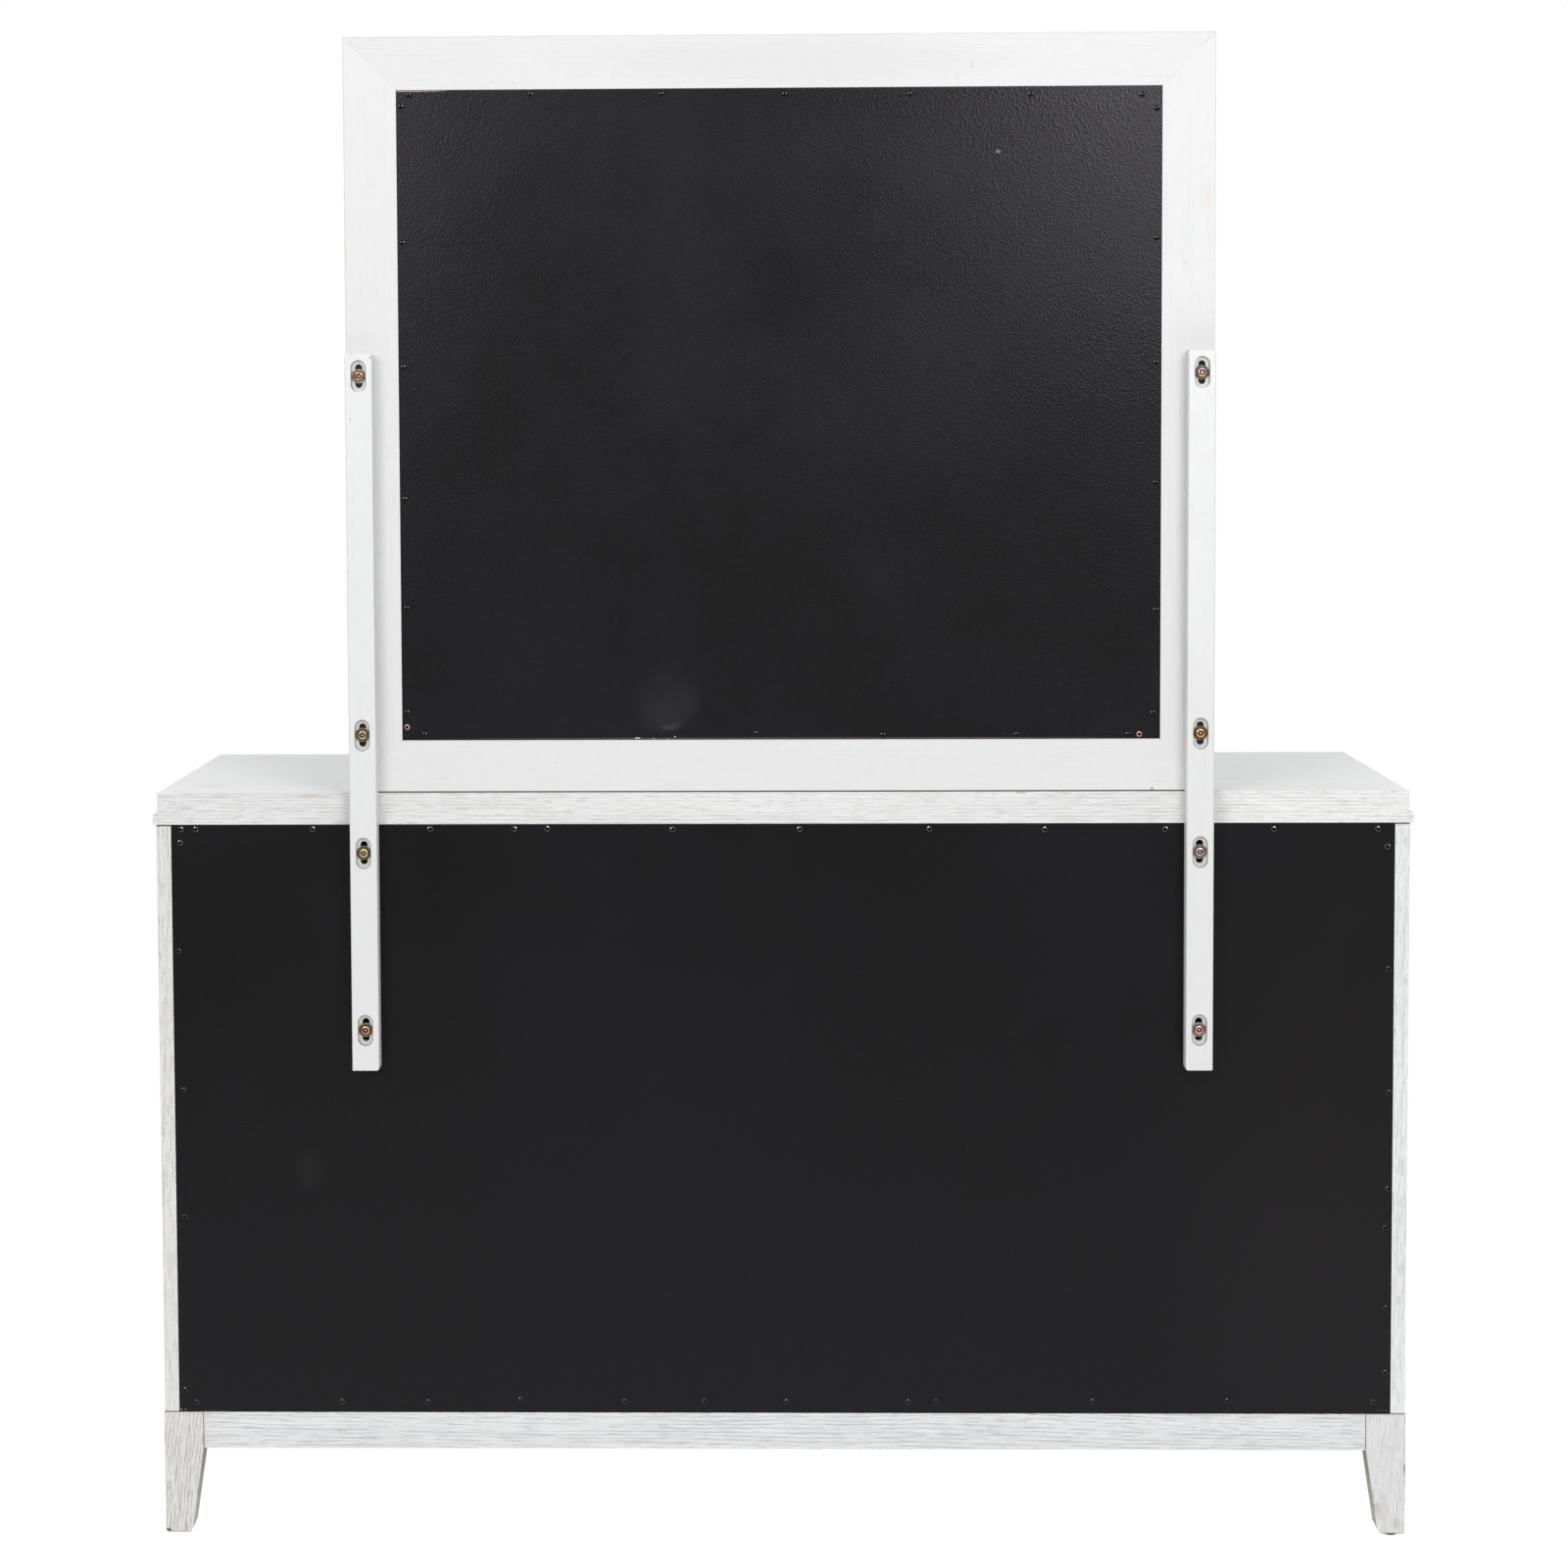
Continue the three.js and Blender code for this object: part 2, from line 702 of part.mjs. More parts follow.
function makeDresser() {
  const dresser = new THREE.Group();
  const frontmost = -caseDepth - pullProjection;
  const rearmost = seam + supportDepth;
  dresser.position.y = -(frontmost + rearmost) / 2;
  dresser.add(makeTop(), makeCase(), makeDustPanels(), makeBase(), makeMirror(), makeSupports(), makeBolts());
  for (let row = 0; row < rowCount; row += 1) {
    for (const side of sides) {
      dresser.add(makeDrawer(row, side));
    }
  }
  return dresser;
}

export default makeDresser();
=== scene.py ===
"""A dresser with a mirror, seen from behind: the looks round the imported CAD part, in metres."""
import math
import random

import bmesh
import bpy
from mathutils import Matrix, Vector


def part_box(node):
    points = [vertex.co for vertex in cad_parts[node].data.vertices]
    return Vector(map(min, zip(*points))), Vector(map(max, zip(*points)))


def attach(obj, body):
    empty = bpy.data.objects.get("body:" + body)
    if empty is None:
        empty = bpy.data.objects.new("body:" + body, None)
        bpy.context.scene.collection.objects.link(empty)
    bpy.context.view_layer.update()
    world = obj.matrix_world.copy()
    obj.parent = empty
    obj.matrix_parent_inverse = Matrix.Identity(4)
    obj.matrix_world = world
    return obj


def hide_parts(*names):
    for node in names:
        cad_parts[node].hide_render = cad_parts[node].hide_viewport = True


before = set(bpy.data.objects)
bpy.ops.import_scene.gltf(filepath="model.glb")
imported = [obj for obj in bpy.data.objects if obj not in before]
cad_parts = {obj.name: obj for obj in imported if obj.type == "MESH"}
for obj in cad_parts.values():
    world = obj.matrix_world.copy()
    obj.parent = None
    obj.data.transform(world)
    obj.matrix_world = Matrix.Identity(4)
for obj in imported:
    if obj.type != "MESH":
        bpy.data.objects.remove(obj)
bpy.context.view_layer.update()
MM = 0.001
ROWS = ("bottom", "middle", "top")
SIDES = {"left": -1, "right": 1}
EDGE_SLOT = 1  # of a piece's looks, the one for its eased edges

# limits along Y, in metres, between which the marks of a rear face fade in
REAR_WOOD, REAR_BOARD, REAR_SUPPORT = (0.2250, 0.2266), (0.180, 0.190), (0.2490, 0.2505)
WHOLE_MARK = 14.0  # a mark whose half width and half height reach this, in mm, isn't torn


# Node trees

MIX_SOCKETS = {"RGBA": (6, 7, 2), "VECTOR": (4, 5, 1)}  # the two inputs and the output


class Shader:
    """A material with one Principled shader, whose detail follows Object coordinates."""

    def __init__(self, name, **settings):
        self.material = bpy.data.materials.new(name)
        self.material.use_nodes = True
        self.tree = self.material.node_tree
        self.tree.nodes.clear()
        self.bsdf = self.node("ShaderNodeBsdfPrincipled")
        self.output = self.node("ShaderNodeOutputMaterial")
        self.tree.links.new(self.bsdf.outputs[0], self.output.inputs[0])
        for key, value in settings.items():
            self.bsdf.inputs[key.replace("_", " ")].default_value = value
        self.place = self.node("ShaderNodeTexCoord").outputs["Object"]
        self.axes = self.split(self.place)

    def node(self, kind, **attributes):
        made = self.tree.nodes.new(kind)
        for key, value in attributes.items():
            setattr(made, key, value)
        return made

    def feed(self, socket, value):
        if isinstance(value, bpy.types.NodeSocket):
            self.tree.links.new(value, socket)
        else:
            socket.default_value = value

    def split(self, value):
        made = self.node("ShaderNodeSeparateXYZ")
        self.feed(made.inputs[0], value)
        return list(made.outputs)

    def math(self, operation, *values, clamp=False):
        made = self.node("ShaderNodeMath", operation=operation, use_clamp=clamp)
        for socket, value in zip(made.inputs, values):
            self.feed(socket, value)
        return made.outputs[0]

    def times(self, first, second):
        return self.math("MULTIPLY", first, second)

    def scaled(self, value, factor, base):
        """value * factor + base"""
        return self.math("MULTIPLY_ADD", value, factor, base)

    def step(self, value, low, high, to_low=0.0, to_high=1.0):
        """A smooth change from to_low to to_high as value goes from low to high."""
        made = self.node("ShaderNodeMapRange", interpolation_type="SMOOTHSTEP")
        for socket, entry in zip(made.inputs, (value, low, high, to_low, to_high)):
            self.feed(socket, entry)
        return made.outputs[0]

    def stretch(self, scales, offset=(0.0, 0.0, 0.0)):
        made = self.node("ShaderNodeMapping")
        self.feed(made.inputs["Vector"], self.place)
        made.inputs["Scale"].default_value = scales
        made.inputs["Location"].default_value = offset
        return made.outputs[0]

    def noise(self, scales, offset=(0.0, 0.0, 0.0), detail=2.0, roughness=0.5, whole=False):
        """Noise whose features are about 1/scale metres along each axis."""
        if isinstance(scales, float):
            scales = (scales,) * 3
        made = self.node("ShaderNodeTexNoise")
        self.feed(made.inputs["Vector"], self.stretch(scales, offset))
        made.inputs["Scale"].default_value = 1.0
        made.inputs["Detail"].default_value = detail
        made.inputs["Roughness"].default_value = roughness
        return made.outputs["Color" if whole else "Fac"]

    def mix(self, share, first, second, kind="RGBA"):
        made = self.node("ShaderNodeMix", data_type=kind)
        *ends, result = MIX_SOCKETS[kind]
        for index, value in zip((0, *ends), (share, first, second)):
            self.feed(made.inputs[index], (*value, 1.0) if isinstance(value, tuple) else value)
        return made.outputs[result]

    def marked(self, colour, marks, rear=REAR_WOOD):
        """Lays marks over a rear face: the smaller ones torn, the larger ones soft and whole."""
        for x, z, half_x, half_z, soft, tone, share in marks:
            dx = self.math("DIVIDE", self.math("SUBTRACT", self.axes[0], x * MM), half_x * MM)
            dz = self.math("DIVIDE", self.math("SUBTRACT", self.axes[2], z * MM), half_z * MM)
            square = self.math("ADD", self.times(dx, dx), self.times(dz, dz))
            inside = self.step(square, (1.0 - soft) ** 2, 1.0, 1.0, 0.0)
            if min(half_x, half_z) < WHOLE_MARK:
                fineness = min(600.0, 3000.0 / min(half_x, half_z))
                torn = self.noise(fineness, (x * MM, 0.0, z * MM), 3.0)
                share = self.times(self.step(torn, 0.30, 0.50), share)
            share = self.times(self.step(self.axes[1], *rear), share)
            colour = self.mix(self.times(inside, share), colour, tone)
        return colour

    def rimmed(self, colour, rims, axis=0, shift=(0.0, 0.0, 0.0)):
        """Tones that begin at one place along an axis and are full at another."""
        for limits, tone, share, patchy in rims:
            for i, start, full in limits:
                share = self.times(self.step(self.axes[i], start, full), share)
            if patchy:
                worn = self.noise(along(axis, 26.0, 240.0), shift, 4.0, 0.65)
                share = self.times(self.step(worn, patchy, patchy + 0.14), share)
            colour = self.mix(share, colour, tone)
        return colour

    def turn_grain(self, low, high):
        """Swaps X and Z where |x| is below low or above high, as in upright members."""
        reach = self.math("ABSOLUTE", self.axes[0])
        inside, outside = self.math("LESS_THAN", reach, low), self.math("GREATER_THAN", reach, high)
        upright = self.math("ADD", inside, outside, clamp=True)
        swapped = self.node("ShaderNodeCombineXYZ")
        for i in range(3):
            self.feed(swapped.inputs[i], self.axes[2 - i])
        self.place = self.mix(upright, self.place, swapped.outputs[0], "VECTOR")
        self.axes = self.split(self.place)

    def finish(self, colour, roughness, height, depth):
        """Feeds the shader; height is drawn as bumps that are depth metres high."""
        self.feed(self.bsdf.inputs["Base Color"], colour)
        self.feed(self.bsdf.inputs["Roughness"], roughness)
        bump = self.node("ShaderNodeBump")
        bump.inputs["Distance"].default_value = depth
        self.feed(bump.inputs["Height"], height)
        self.feed(self.bsdf.inputs["Normal"], bump.outputs[0])
        return self.material


def along(axis, length_scale, cross_scale):
    """Scales for a pattern that is drawn out along one axis."""
    return tuple(length_scale if i == axis else cross_scale for i in range(3))


# Materials

def washed_wood(name, axis, base, line, *, heart, seed, spacing=0.008, lines=0.5, streaks=0.3,
                smudges=0.1, tilt=0.02, warp=0.012, bright=0.35, dashes=24.0,
                dirt=(0.45, 0.42, 0.38), shade=(), rims=(), marks=(), upright=None, faint=None):
    """Thin white wash over open grain: growth lines broken into dashes, and fine streaks.

    The lines are cuts through rings round the heart, which runs along the axis; faint gives
    the limits along another axis between which the grain comes up, and its least share.
    """
    s = Shader(name, Specular_IOR_Level=0.35)
    if upright:
        s.turn_grain(*upright)
    across = [i for i in range(3) if i != axis]
    shift = (seed * 3.1, seed * 1.7, seed * 2.3)
    drift = s.split(s.noise(along(axis, 1.8, 9.0), shift, 2.0, whole=True))
    parts = []
    for n, i in enumerate(across):
        moved = s.scaled(drift[n], warp * 2, s.axes[i])
        lean = s.scaled(s.axes[axis], tilt * (1, -0.6)[n], moved)
        off = s.math("SUBTRACT", lean, heart[n])
        parts.append(s.times(off, off))
    rings = s.math("DIVIDE", s.math("SQRT", s.math("ADD", *parts)), spacing)
    wobble = s.noise(along(axis, 9.0, 90.0), shift, 2.0)
    rings = s.scaled(wobble, 0.5, rings)
    layers = []
    for pitch, strength, start in ((1.0, 1.0, 0.80), (2.6, 0.45, 0.66)):
        phase = s.math("FRACT", s.times(rings, pitch))
        rise = s.step(phase, start, 0.93)
        fall = s.step(phase, 0.94, 1.0, 1.0, 0.0)
        dash = s.noise(along(axis, dashes / pitch, 420.0), (shift[2], shift[0], pitch), 3.0)
        dash = s.step(dash, 0.38, 0.54, 0.15, 1.0)
        layers.append(s.times(s.times(rise, fall), s.times(dash, strength)))
    year = s.step(s.noise(along(axis, 1.5, 45.0), shift, 1.0), 0.30, 0.60, 0.45, 1.0)
    grain = s.times(s.math("MAXIMUM", *layers), year)
    pores = s.step(s.noise(along(axis, 46.0, 700.0), shift, 3.0, 0.6), 0.54, 0.68)
    ridges = s.noise(along(axis, 9.0, 320.0), (shift[1], shift[2], shift[0]), 3.0)
    ridges = s.step(ridges, 0.50, 0.72)
    if faint:
        i, start, full, least = faint
        strength = s.step(s.axes[i], start, full, least, 1.0)
        grain, pores, ridges = (s.times(part, strength) for part in (grain, pores, ridges))
    cloud = s.step(s.noise(5.0, shift, 3.0), 0.25, 0.75)
    colour = s.mix(cloud, tuple(c * 0.96 for c in base), base)
    # painted shade and light, laid on before the grain
    colour = s.rimmed(colour, shade, axis, shift)
    lifted = tuple(min(1.0, c * 1.13) for c in base)
    colour = s.mix(s.times(ridges, bright), colour, lifted)
    colour = s.mix(s.times(grain, lines), colour, line)
    colour = s.mix(s.times(pores, streaks), colour, line)
    speck = s.step(s.noise(34.0, shift, 5.0, 0.7), 0.58, 0.70)
    colour = s.mix(s.times(speck, smudges), colour, dirt)
    colour = s.marked(s.rimmed(colour, rims, axis, shift), marks)
    dents = s.math("ADD", s.times(grain, 0.8), s.times(pores, 0.6))
    height = s.math("SUBTRACT", s.times(ridges, 0.4), dents)
    return s.finish(colour, s.scaled(pores, 0.2, 0.5), height, 0.0005)


def painted(name, base, *, seed, axis=2, rough=0.42, smudges=0.12, grain=0.10,
            shade=(), rims=(), marks=(), rear=REAR_WOOD):
    """Brushed or sprayed white paint: nearly even, with faint grain, brush marks and smudges."""
    s = Shader(name, Specular_IOR_Level=0.4)
    shift = (seed * 2.1, seed * 1.3, seed * 3.7)
    cloud = s.step(s.noise(3.0, shift, 3.0), 0.3, 0.7)
    colour = s.mix(cloud, tuple(c * 0.97 for c in base), base)
    # painted shade and light, laid on before the fibres and smudges
    colour = s.rimmed(colour, shade, axis, shift)
    fibres = s.step(s.noise(along(axis, 10.0, 330.0), shift, 3.0), 0.5, 0.78)
    rub = s.step(s.noise(along(axis, 14.0, 30.0), shift, 5.0, 0.65), 0.56, 0.78)
    mottle = s.step(s.noise(75.0, shift, 4.0, 0.7), 0.40, 0.66)
    grit = s.step(s.noise(330.0, shift, 2.0), 0.70, 0.80)
    for layer, share in ((fibres, grain), (rub, smudges), (mottle, 0.07), (grit, 0.30)):
        colour = s.mix(s.times(layer, share), colour, PAINT_DIRT)
    colour = s.marked(s.rimmed(colour, rims, axis, shift), marks, rear)
    peel = s.noise(420.0, shift, 2.0)
    height = s.math("SUBTRACT", s.times(peel, 0.35), fibres)
    return s.finish(colour, s.scaled(cloud, 0.10, rough), height, 0.0002)


def worn_edge(name, base, bare, *, amount, size=40.0, seed=0.0, rims=(), marks=()):
    """The eased edges, where the paint has rubbed thin in patches."""
    s = Shader(name, Specular_IOR_Level=0.3)
    shift = (seed * 1.9, seed * 2.9, seed)
    low = 0.72 - amount * 0.4
    patch = s.noise(along(2, size * 0.5, size * 2.0), shift, 4.0, 0.65)
    patch = s.step(patch, low, low + 0.1)
    fine = s.step(s.noise(380.0, shift, 3.0), 0.35, 0.65, 0.45, 1.0)
    share = s.times(patch, fine)
    colour = s.marked(s.rimmed(s.mix(share, base, bare), rims), marks)
    return s.finish(colour, s.scaled(share, 0.2, 0.5), s.math("SUBTRACT", 1.0, share), 0.0002)


def raw_wood(name, axis, seed):
    """Unpainted wood of the inside: bands of growth and pores."""
    s = Shader(name, Specular_IOR_Level=0.3)
    shift = (seed * 1.3, seed * 2.7, seed * 0.9)
    drift = s.noise(along(axis, 0.9, 9.0), shift, 3.0)
    across = s.axes[1 if axis != 1 else 0]
    rings = s.scaled(drift, 11.0, s.math("DIVIDE", across, 0.031))
    phase = s.math("FRACT", s.math("ADD", rings, s.math("DIVIDE", s.axes[2], 0.037)))
    band = s.times(s.step(phase, 0.2, 0.9), s.step(phase, 0.92, 1.0, 1.0, 0.0))
    pores = s.step(s.noise(along(axis, 16.0, 420.0), shift, 3.0), 0.5, 0.76)
    cloud = s.step(s.noise(3.0, shift, 2.0), 0.3, 0.7)
    colour = s.mix(cloud, tuple(c * 0.9 for c in RAW_BASE), RAW_BASE)
    depth = s.step(s.noise(along(axis, 2.0, 24.0), shift, 2.0), 0.30, 0.70, 0.10, 0.42)
    colour = s.mix(s.times(band, depth), colour, RAW_LINE)
    colour = s.mix(s.times(pores, 0.35), colour, RAW_LINE)
    height = s.math("SUBTRACT", 0.0, s.math("ADD", band, pores))
    return s.finish(colour, s.scaled(pores, 0.15, 0.6), height, 0.0003)


def black_board(name, base, marks, seed, specular, rough):
    """Thin black-faced board with a pebbled skin and bluish clouds, and its marks: scuffs, chips and,
    on the case board, a painted sheen.
    """
    s = Shader(name, Specular_IOR_Level=specular, Specular_Tint=(0.95, 0.915, 1.0, 1.0))
    shift = (seed, seed * 1.7, seed * 0.6)
    cloud = s.step(s.noise(2.2, shift, 4.0, 0.6), 0.35, 0.72)
    colour = s.mix(cloud, base, (base[0] * 1.12, base[1] * 1.16, base[2] * 1.32))
    fleck = s.step(s.noise(230.0, shift, 2.0), 0.58, 0.72)
    colour = s.mix(s.times(fleck, 0.25), colour, (0.012, 0.012, 0.015))
    colour = s.marked(colour, marks, REAR_BOARD)
    pebble = s.node("ShaderNodeTexVoronoi", feature="SMOOTH_F1")
    s.feed(pebble.inputs["Vector"], s.stretch((420.0, 420.0, 420.0)))
    pebble.inputs["Scale"].default_value = 1.0
    sway = s.noise(26.0, shift, 2.0)
    height = s.scaled(sway, 0.25, pebble.outputs["Distance"])
    return s.finish(colour, s.scaled(cloud, 0.10, rough), height, 0.0002)


def metal(name, tint, dark, *, rough, size, tarnish=0.5, seed=0.0):
    """Plated or painted metal with a mottled film and fine scratches."""
    s = Shader(name, Metallic=1.0)
    shift = (seed * 1.1, seed * 2.3, seed * 3.1)
    film = s.step(s.noise(size, shift, 4.0, 0.6), 0.38, 0.66)
    colour = s.mix(s.times(film, tarnish), tint, dark)
    scratch = s.step(s.noise((size * 0.4, size * 7.0, size * 7.0), shift, 2.0), 0.5, 0.8)
    roughness = s.scaled(film, 0.22, s.scaled(scratch, 0.12, rough))
    return s.finish(colour, roughness, s.math("ADD", film, scratch), 0.00004)


def coated(name, base, light, *, rough, size=300.0, specular=0.5, skin=0.0001, dull=0.2):
    """Black coating or rubber: dark, with dusty flecks and a fine uneven skin."""
    s = Shader(name, Specular_IOR_Level=specular)
    dust = s.step(s.noise(size, detail=4.0, roughness=0.6), 0.48, 0.72)
    colour = s.mix(s.times(dust, 0.6), base, light)
    return s.finish(colour, s.scaled(dust, dull, rough), s.noise(size * 4), skin)


def silvered_glass():
    s = Shader("mirror_glass_look", Metallic=1.0)
    haze = s.step(s.noise(5.0, detail=3.0), 0.45, 0.8)
    wipe = s.step(s.noise((60.0, 3.0, 9.0), (3.0, 0.0, 1.0), 3.0), 0.55, 0.85)
    colour = s.mix(haze, (0.90, 0.92, 0.91), (0.86, 0.89, 0.88))
    return s.finish(colour, s.scaled(s.times(haze, wipe), 0.06, 0.015), haze, 0.000004)


# Tones, marks, and painted shade and light

PAINT_DIRT = (0.55, 0.53, 0.50)
RAW_BASE, RAW_LINE = (0.60, 0.46, 0.30), (0.38, 0.25, 0.14)
WASH = (0.73, 0.735, 0.735)
WASH_LINE = (0.45, 0.46, 0.48)
FRONT_WASH, FRONT_LINE = (0.75, 0.75, 0.745), (0.52, 0.51, 0.49)
GREY_BROWN = (0.36, 0.33, 0.30)
# painted shadow for the narrow gaps between parts
GAP_SHADOW = (0.075, 0.060, 0.048)
STAIN = (0.50, 0.49, 0.47)
WORN = (0.52, 0.47, 0.40)
BARE = (0.60, 0.56, 0.50)
SCUFF = (0.0150, 0.0147, 0.0150)

# marks of the rear side: x, z, half width and half height in mm, softness, tone, share
FRAME_MARKS = (
    (541, 1629, 1.8, 26, 0.6, (0.55, 0.47, 0.36), 0.5),
    (-533, 1689, 6, 16, 0.9, (0.72, 0.62, 0.58), 0.45),
    (-466, 955, 2.2, 2.2, 0.4, (0.20, 0.17, 0.15), 0.8),
    (-475, 965, 4.5, 1.6, 0.5, STAIN, 0.5),
    (-508, 1640, 5, 11, 0.8, (0.55, 0.70, 0.68), 0.3),
    (-506, 1612, 1.5, 5, 0.5, (0.45, 0.47, 0.50), 0.5),
    (330, 1839, 1.6, 2.0, 0.4, STAIN, 0.8),
    (355, 1840, 2.4, 1.4, 0.4, STAIN, 0.7),
    (-10, 1868, 2, 6, 0.6, STAIN, 0.3),
    (-10, 1864, 330, 44, 0.95, (0.58, 0.58, 0.57), 0.42),
    (-240, 1858, 2, 6, 0.6, (0.40, 0.40, 0.41), 0.4),
    (-222, 1842, 4, 11, 0.9, (0.62, 0.55, 0.50), 0.3),
)
TOP_MARKS = (
    (-302, 951, 8, 2.0, 0.5, (0.34, 0.30, 0.26), 0.7),
    (593, 948.6, 19, 1.7, 0.6, WORN, 0.75),
    (560, 950.4, 16, 0.9, 0.5, WORN, 0.6),
    (705, 949, 16, 1.6, 0.6, WORN, 0.6),
    (420, 951, 12, 1.4, 0.5, WORN, 0.5),
    (-640, 950, 20, 1.6, 0.6, WORN, 0.45),
)
LEG_MARKS = (
    (-789.6, 87, 1.9, 8, 0.3, (0.10, 0.085, 0.075), 1.0),
    (786.5, 3.4, 5.0, 3.0, 0.3, (0.10, 0.09, 0.08), 1.0),
    (-760, 30, 13, 16, 0.9, (0.48, 0.46, 0.43), 0.45),
    (-779, 17, 7, 9, 0.8, (0.45, 0.43, 0.41), 0.45),
    (785, 62, 3.5, 10, 0.7, (0.42, 0.38, 0.33), 0.5),
)
SIDE_MARKS = (
    (779, 640, 1.4, 2.2, 0.4, (0.40, 0.36, 0.31), 0.7),
    (774, 560, 1.0, 5.0, 0.5, (0.45, 0.42, 0.38), 0.5),
    (-783, 430, 1.0, 6.0, 0.5, (0.45, 0.42, 0.38), 0.4),
)
SUPPORT_MARKS = (
    (534, 1422, 1.4, 2.4, 0.4, (0.40, 0.42, 0.42), 0.7),
    (508.5, 1499, 1.6, 1.6, 0.3, (0.28, 0.24, 0.20), 0.8),
    (508, 1188, 0.9, 2.3, 0.3, (0.30, 0.27, 0.24), 0.85),
    (538.5, 1233, 1.2, 1.6, 0.4, (0.55, 0.53, 0.50), 0.7),
)
CASE_MARKS = (
    (-761, 162, 10, 1.0, 0.4, (0.10, 0.10, 0.10), 0.8),
    (768, 160.5, 1.0, 0.9, 0.3, (0.45, 0.45, 0.43), 0.8),
    (762.5, 160.2, 1.3, 0.8, 0.3, (0.45, 0.45, 0.43), 0.8),
    (726, 158.6, 24, 1.0, 0.5, (0.05, 0.045, 0.040), 0.7),
    (600, 470, 22, 30, 0.9, (0.010, 0.009, 0.009), 0.6),
    # painted sheen: a broad soft lightening over the -X side of the case board
    (-740, 520, 330, 560, 0.95, (0.0064, 0.0056, 0.0055), 0.9),
)
MIRROR_MARKS = (
    (146, 1050, 40, 24, 0.80, SCUFF, 0.50),
    (136, 1058, 38, 32, 0.95, SCUFF, 0.40),
    (113, 1068, 17, 24, 0.70, SCUFF, 0.35),
    (150, 1036, 32, 14, 0.85, SCUFF, 0.35),
    (140, 1073, 52, 44, 0.98, (0.0120, 0.0117, 0.0120), 0.35),
    (140, 1033.5, 12, 4.5, 0.9, (0.044, 0.043, 0.044), 0.60),
    (131, 1037, 10, 5, 0.9, (0.036, 0.035, 0.036), 0.50),
    (-273, 1751, 3.4, 2.6, 0.3, (0.20, 0.19, 0.17), 0.85),
    (-281, 1746, 5.5, 1.6, 0.8, (0.03, 0.03, 0.03), 0.6),
    (452, 1830.6, 46, 1.9, 0.3, (0.42, 0.37, 0.31), 0.85),
    (0, 1020.0, 470, 0.9, 0.3, (0.10, 0.09, 0.085), 0.8),
    (179.5, 1020.4, 4.4, 1.1, 0.4, (0.60, 0.60, 0.58), 1.0),
    (159, 1019.6, 1.7, 0.8, 0.3, (0.50, 0.48, 0.45), 1.0),
    (142, 1019.5, 1.1, 0.8, 0.3, (0.40, 0.38, 0.36), 1.0),
    (132.4, 1022.0, 1.0, 1.0, 0.3, (0.60, 0.60, 0.58), 1.0),
    (470, 1035, 5.4, 6.5, 0.9, (0.05, 0.018, 0.012), 0.7),
    (-450, 1024, 5.4, 5.0, 0.9, (0.05, 0.018, 0.012), 0.7),
)

# tones with limits: (axis, start, full) in metres, tone, share, patchiness
REAR_FACE = (1, 0.2270, 0.2278)
# painted shadow along the gap under the moulding, on the side panels' rear edges
TOP_SEAM_SHADOW = (((2, 0.9096, 0.9101), REAR_FACE), GAP_SHADOW, 0.92, 0)
LEG_SEAM = (((2, 0.1592, 0.1586), REAR_FACE), (0.14, 0.12, 0.10), 0.80, 0)
# painted shadow along the gap between the mirror frame and the top
MIRROR_GAP_SHADOW = (((2, 0.9543, 0.9537), REAR_FACE), GAP_SHADOW, 0.95, 0)
OUTER_LINE = tuple(
    ((limit, REAR_FACE), (0.52, 0.51, 0.49), 0.55, 0)
    for limit in ((0, 0.5404, 0.5413), (0, -0.5404, -0.5413), (2, 1.8952, 1.8961)))
BEIGE_RIM = (((2, 0.9494, 0.9514), (1, 0.2262, 0.2274)), WORN, 0.55, 0.48)
# painted shade and light, laid under the grain: the rear faces of top and moulding darker, lighter
# again towards their -X end; the top face darker towards -X; the stiles darker beside and below the
# supports, the -X stile more so and the +X stile more at its foot; the bottom rail darker; the supports
# darker towards the bottom
BAND_SHADE = ((REAR_FACE, (0, -0.70, -0.35)), (0.706, 0.706, 0.700), 0.9, 0)
BAND_END_LIGHT = ((REAR_FACE, (0, -0.50, -0.62)), (0.784, 0.784, 0.776), 1.0, 0)
TOP_SHADE = (((0, -0.10, -0.60), (1, 0.2262, 0.2250)), (0.746, 0.745, 0.744), 1.0, 0)
STILE_SHADE = (((2, 1.54, 1.46),), (0.672, 0.672, 0.670), 1.0, 0)
RIGHT_STILE_FOOT_SHADE = (((0, 0.48, 0.50), (2, 1.25, 1.00)), (0.648, 0.648, 0.646), 1.0, 0)
LEFT_STILE_SHADE = (((0, -0.48, -0.50), (2, 1.58, 1.48)), (0.648, 0.648, 0.646), 1.0, 0)
LOW_RAIL_SHADE = (((2, 1.10, 1.03),), (0.676, 0.676, 0.672), 1.0, 0)
SUPPORT_SHADE = (((2, 1.38, 0.80),), (0.680, 0.684, 0.678), 1.0, 0)
RABBET_RIM = (((2, 1.0163, 1.0174), (2, 1.050, 1.040), REAR_FACE), (0.60, 0.50, 0.44), 0.45, 0)
FOOT_DIRT = (((2, 0.030, 0.004),), (0.36, 0.34, 0.31), 0.45, 0.50)


# Looks

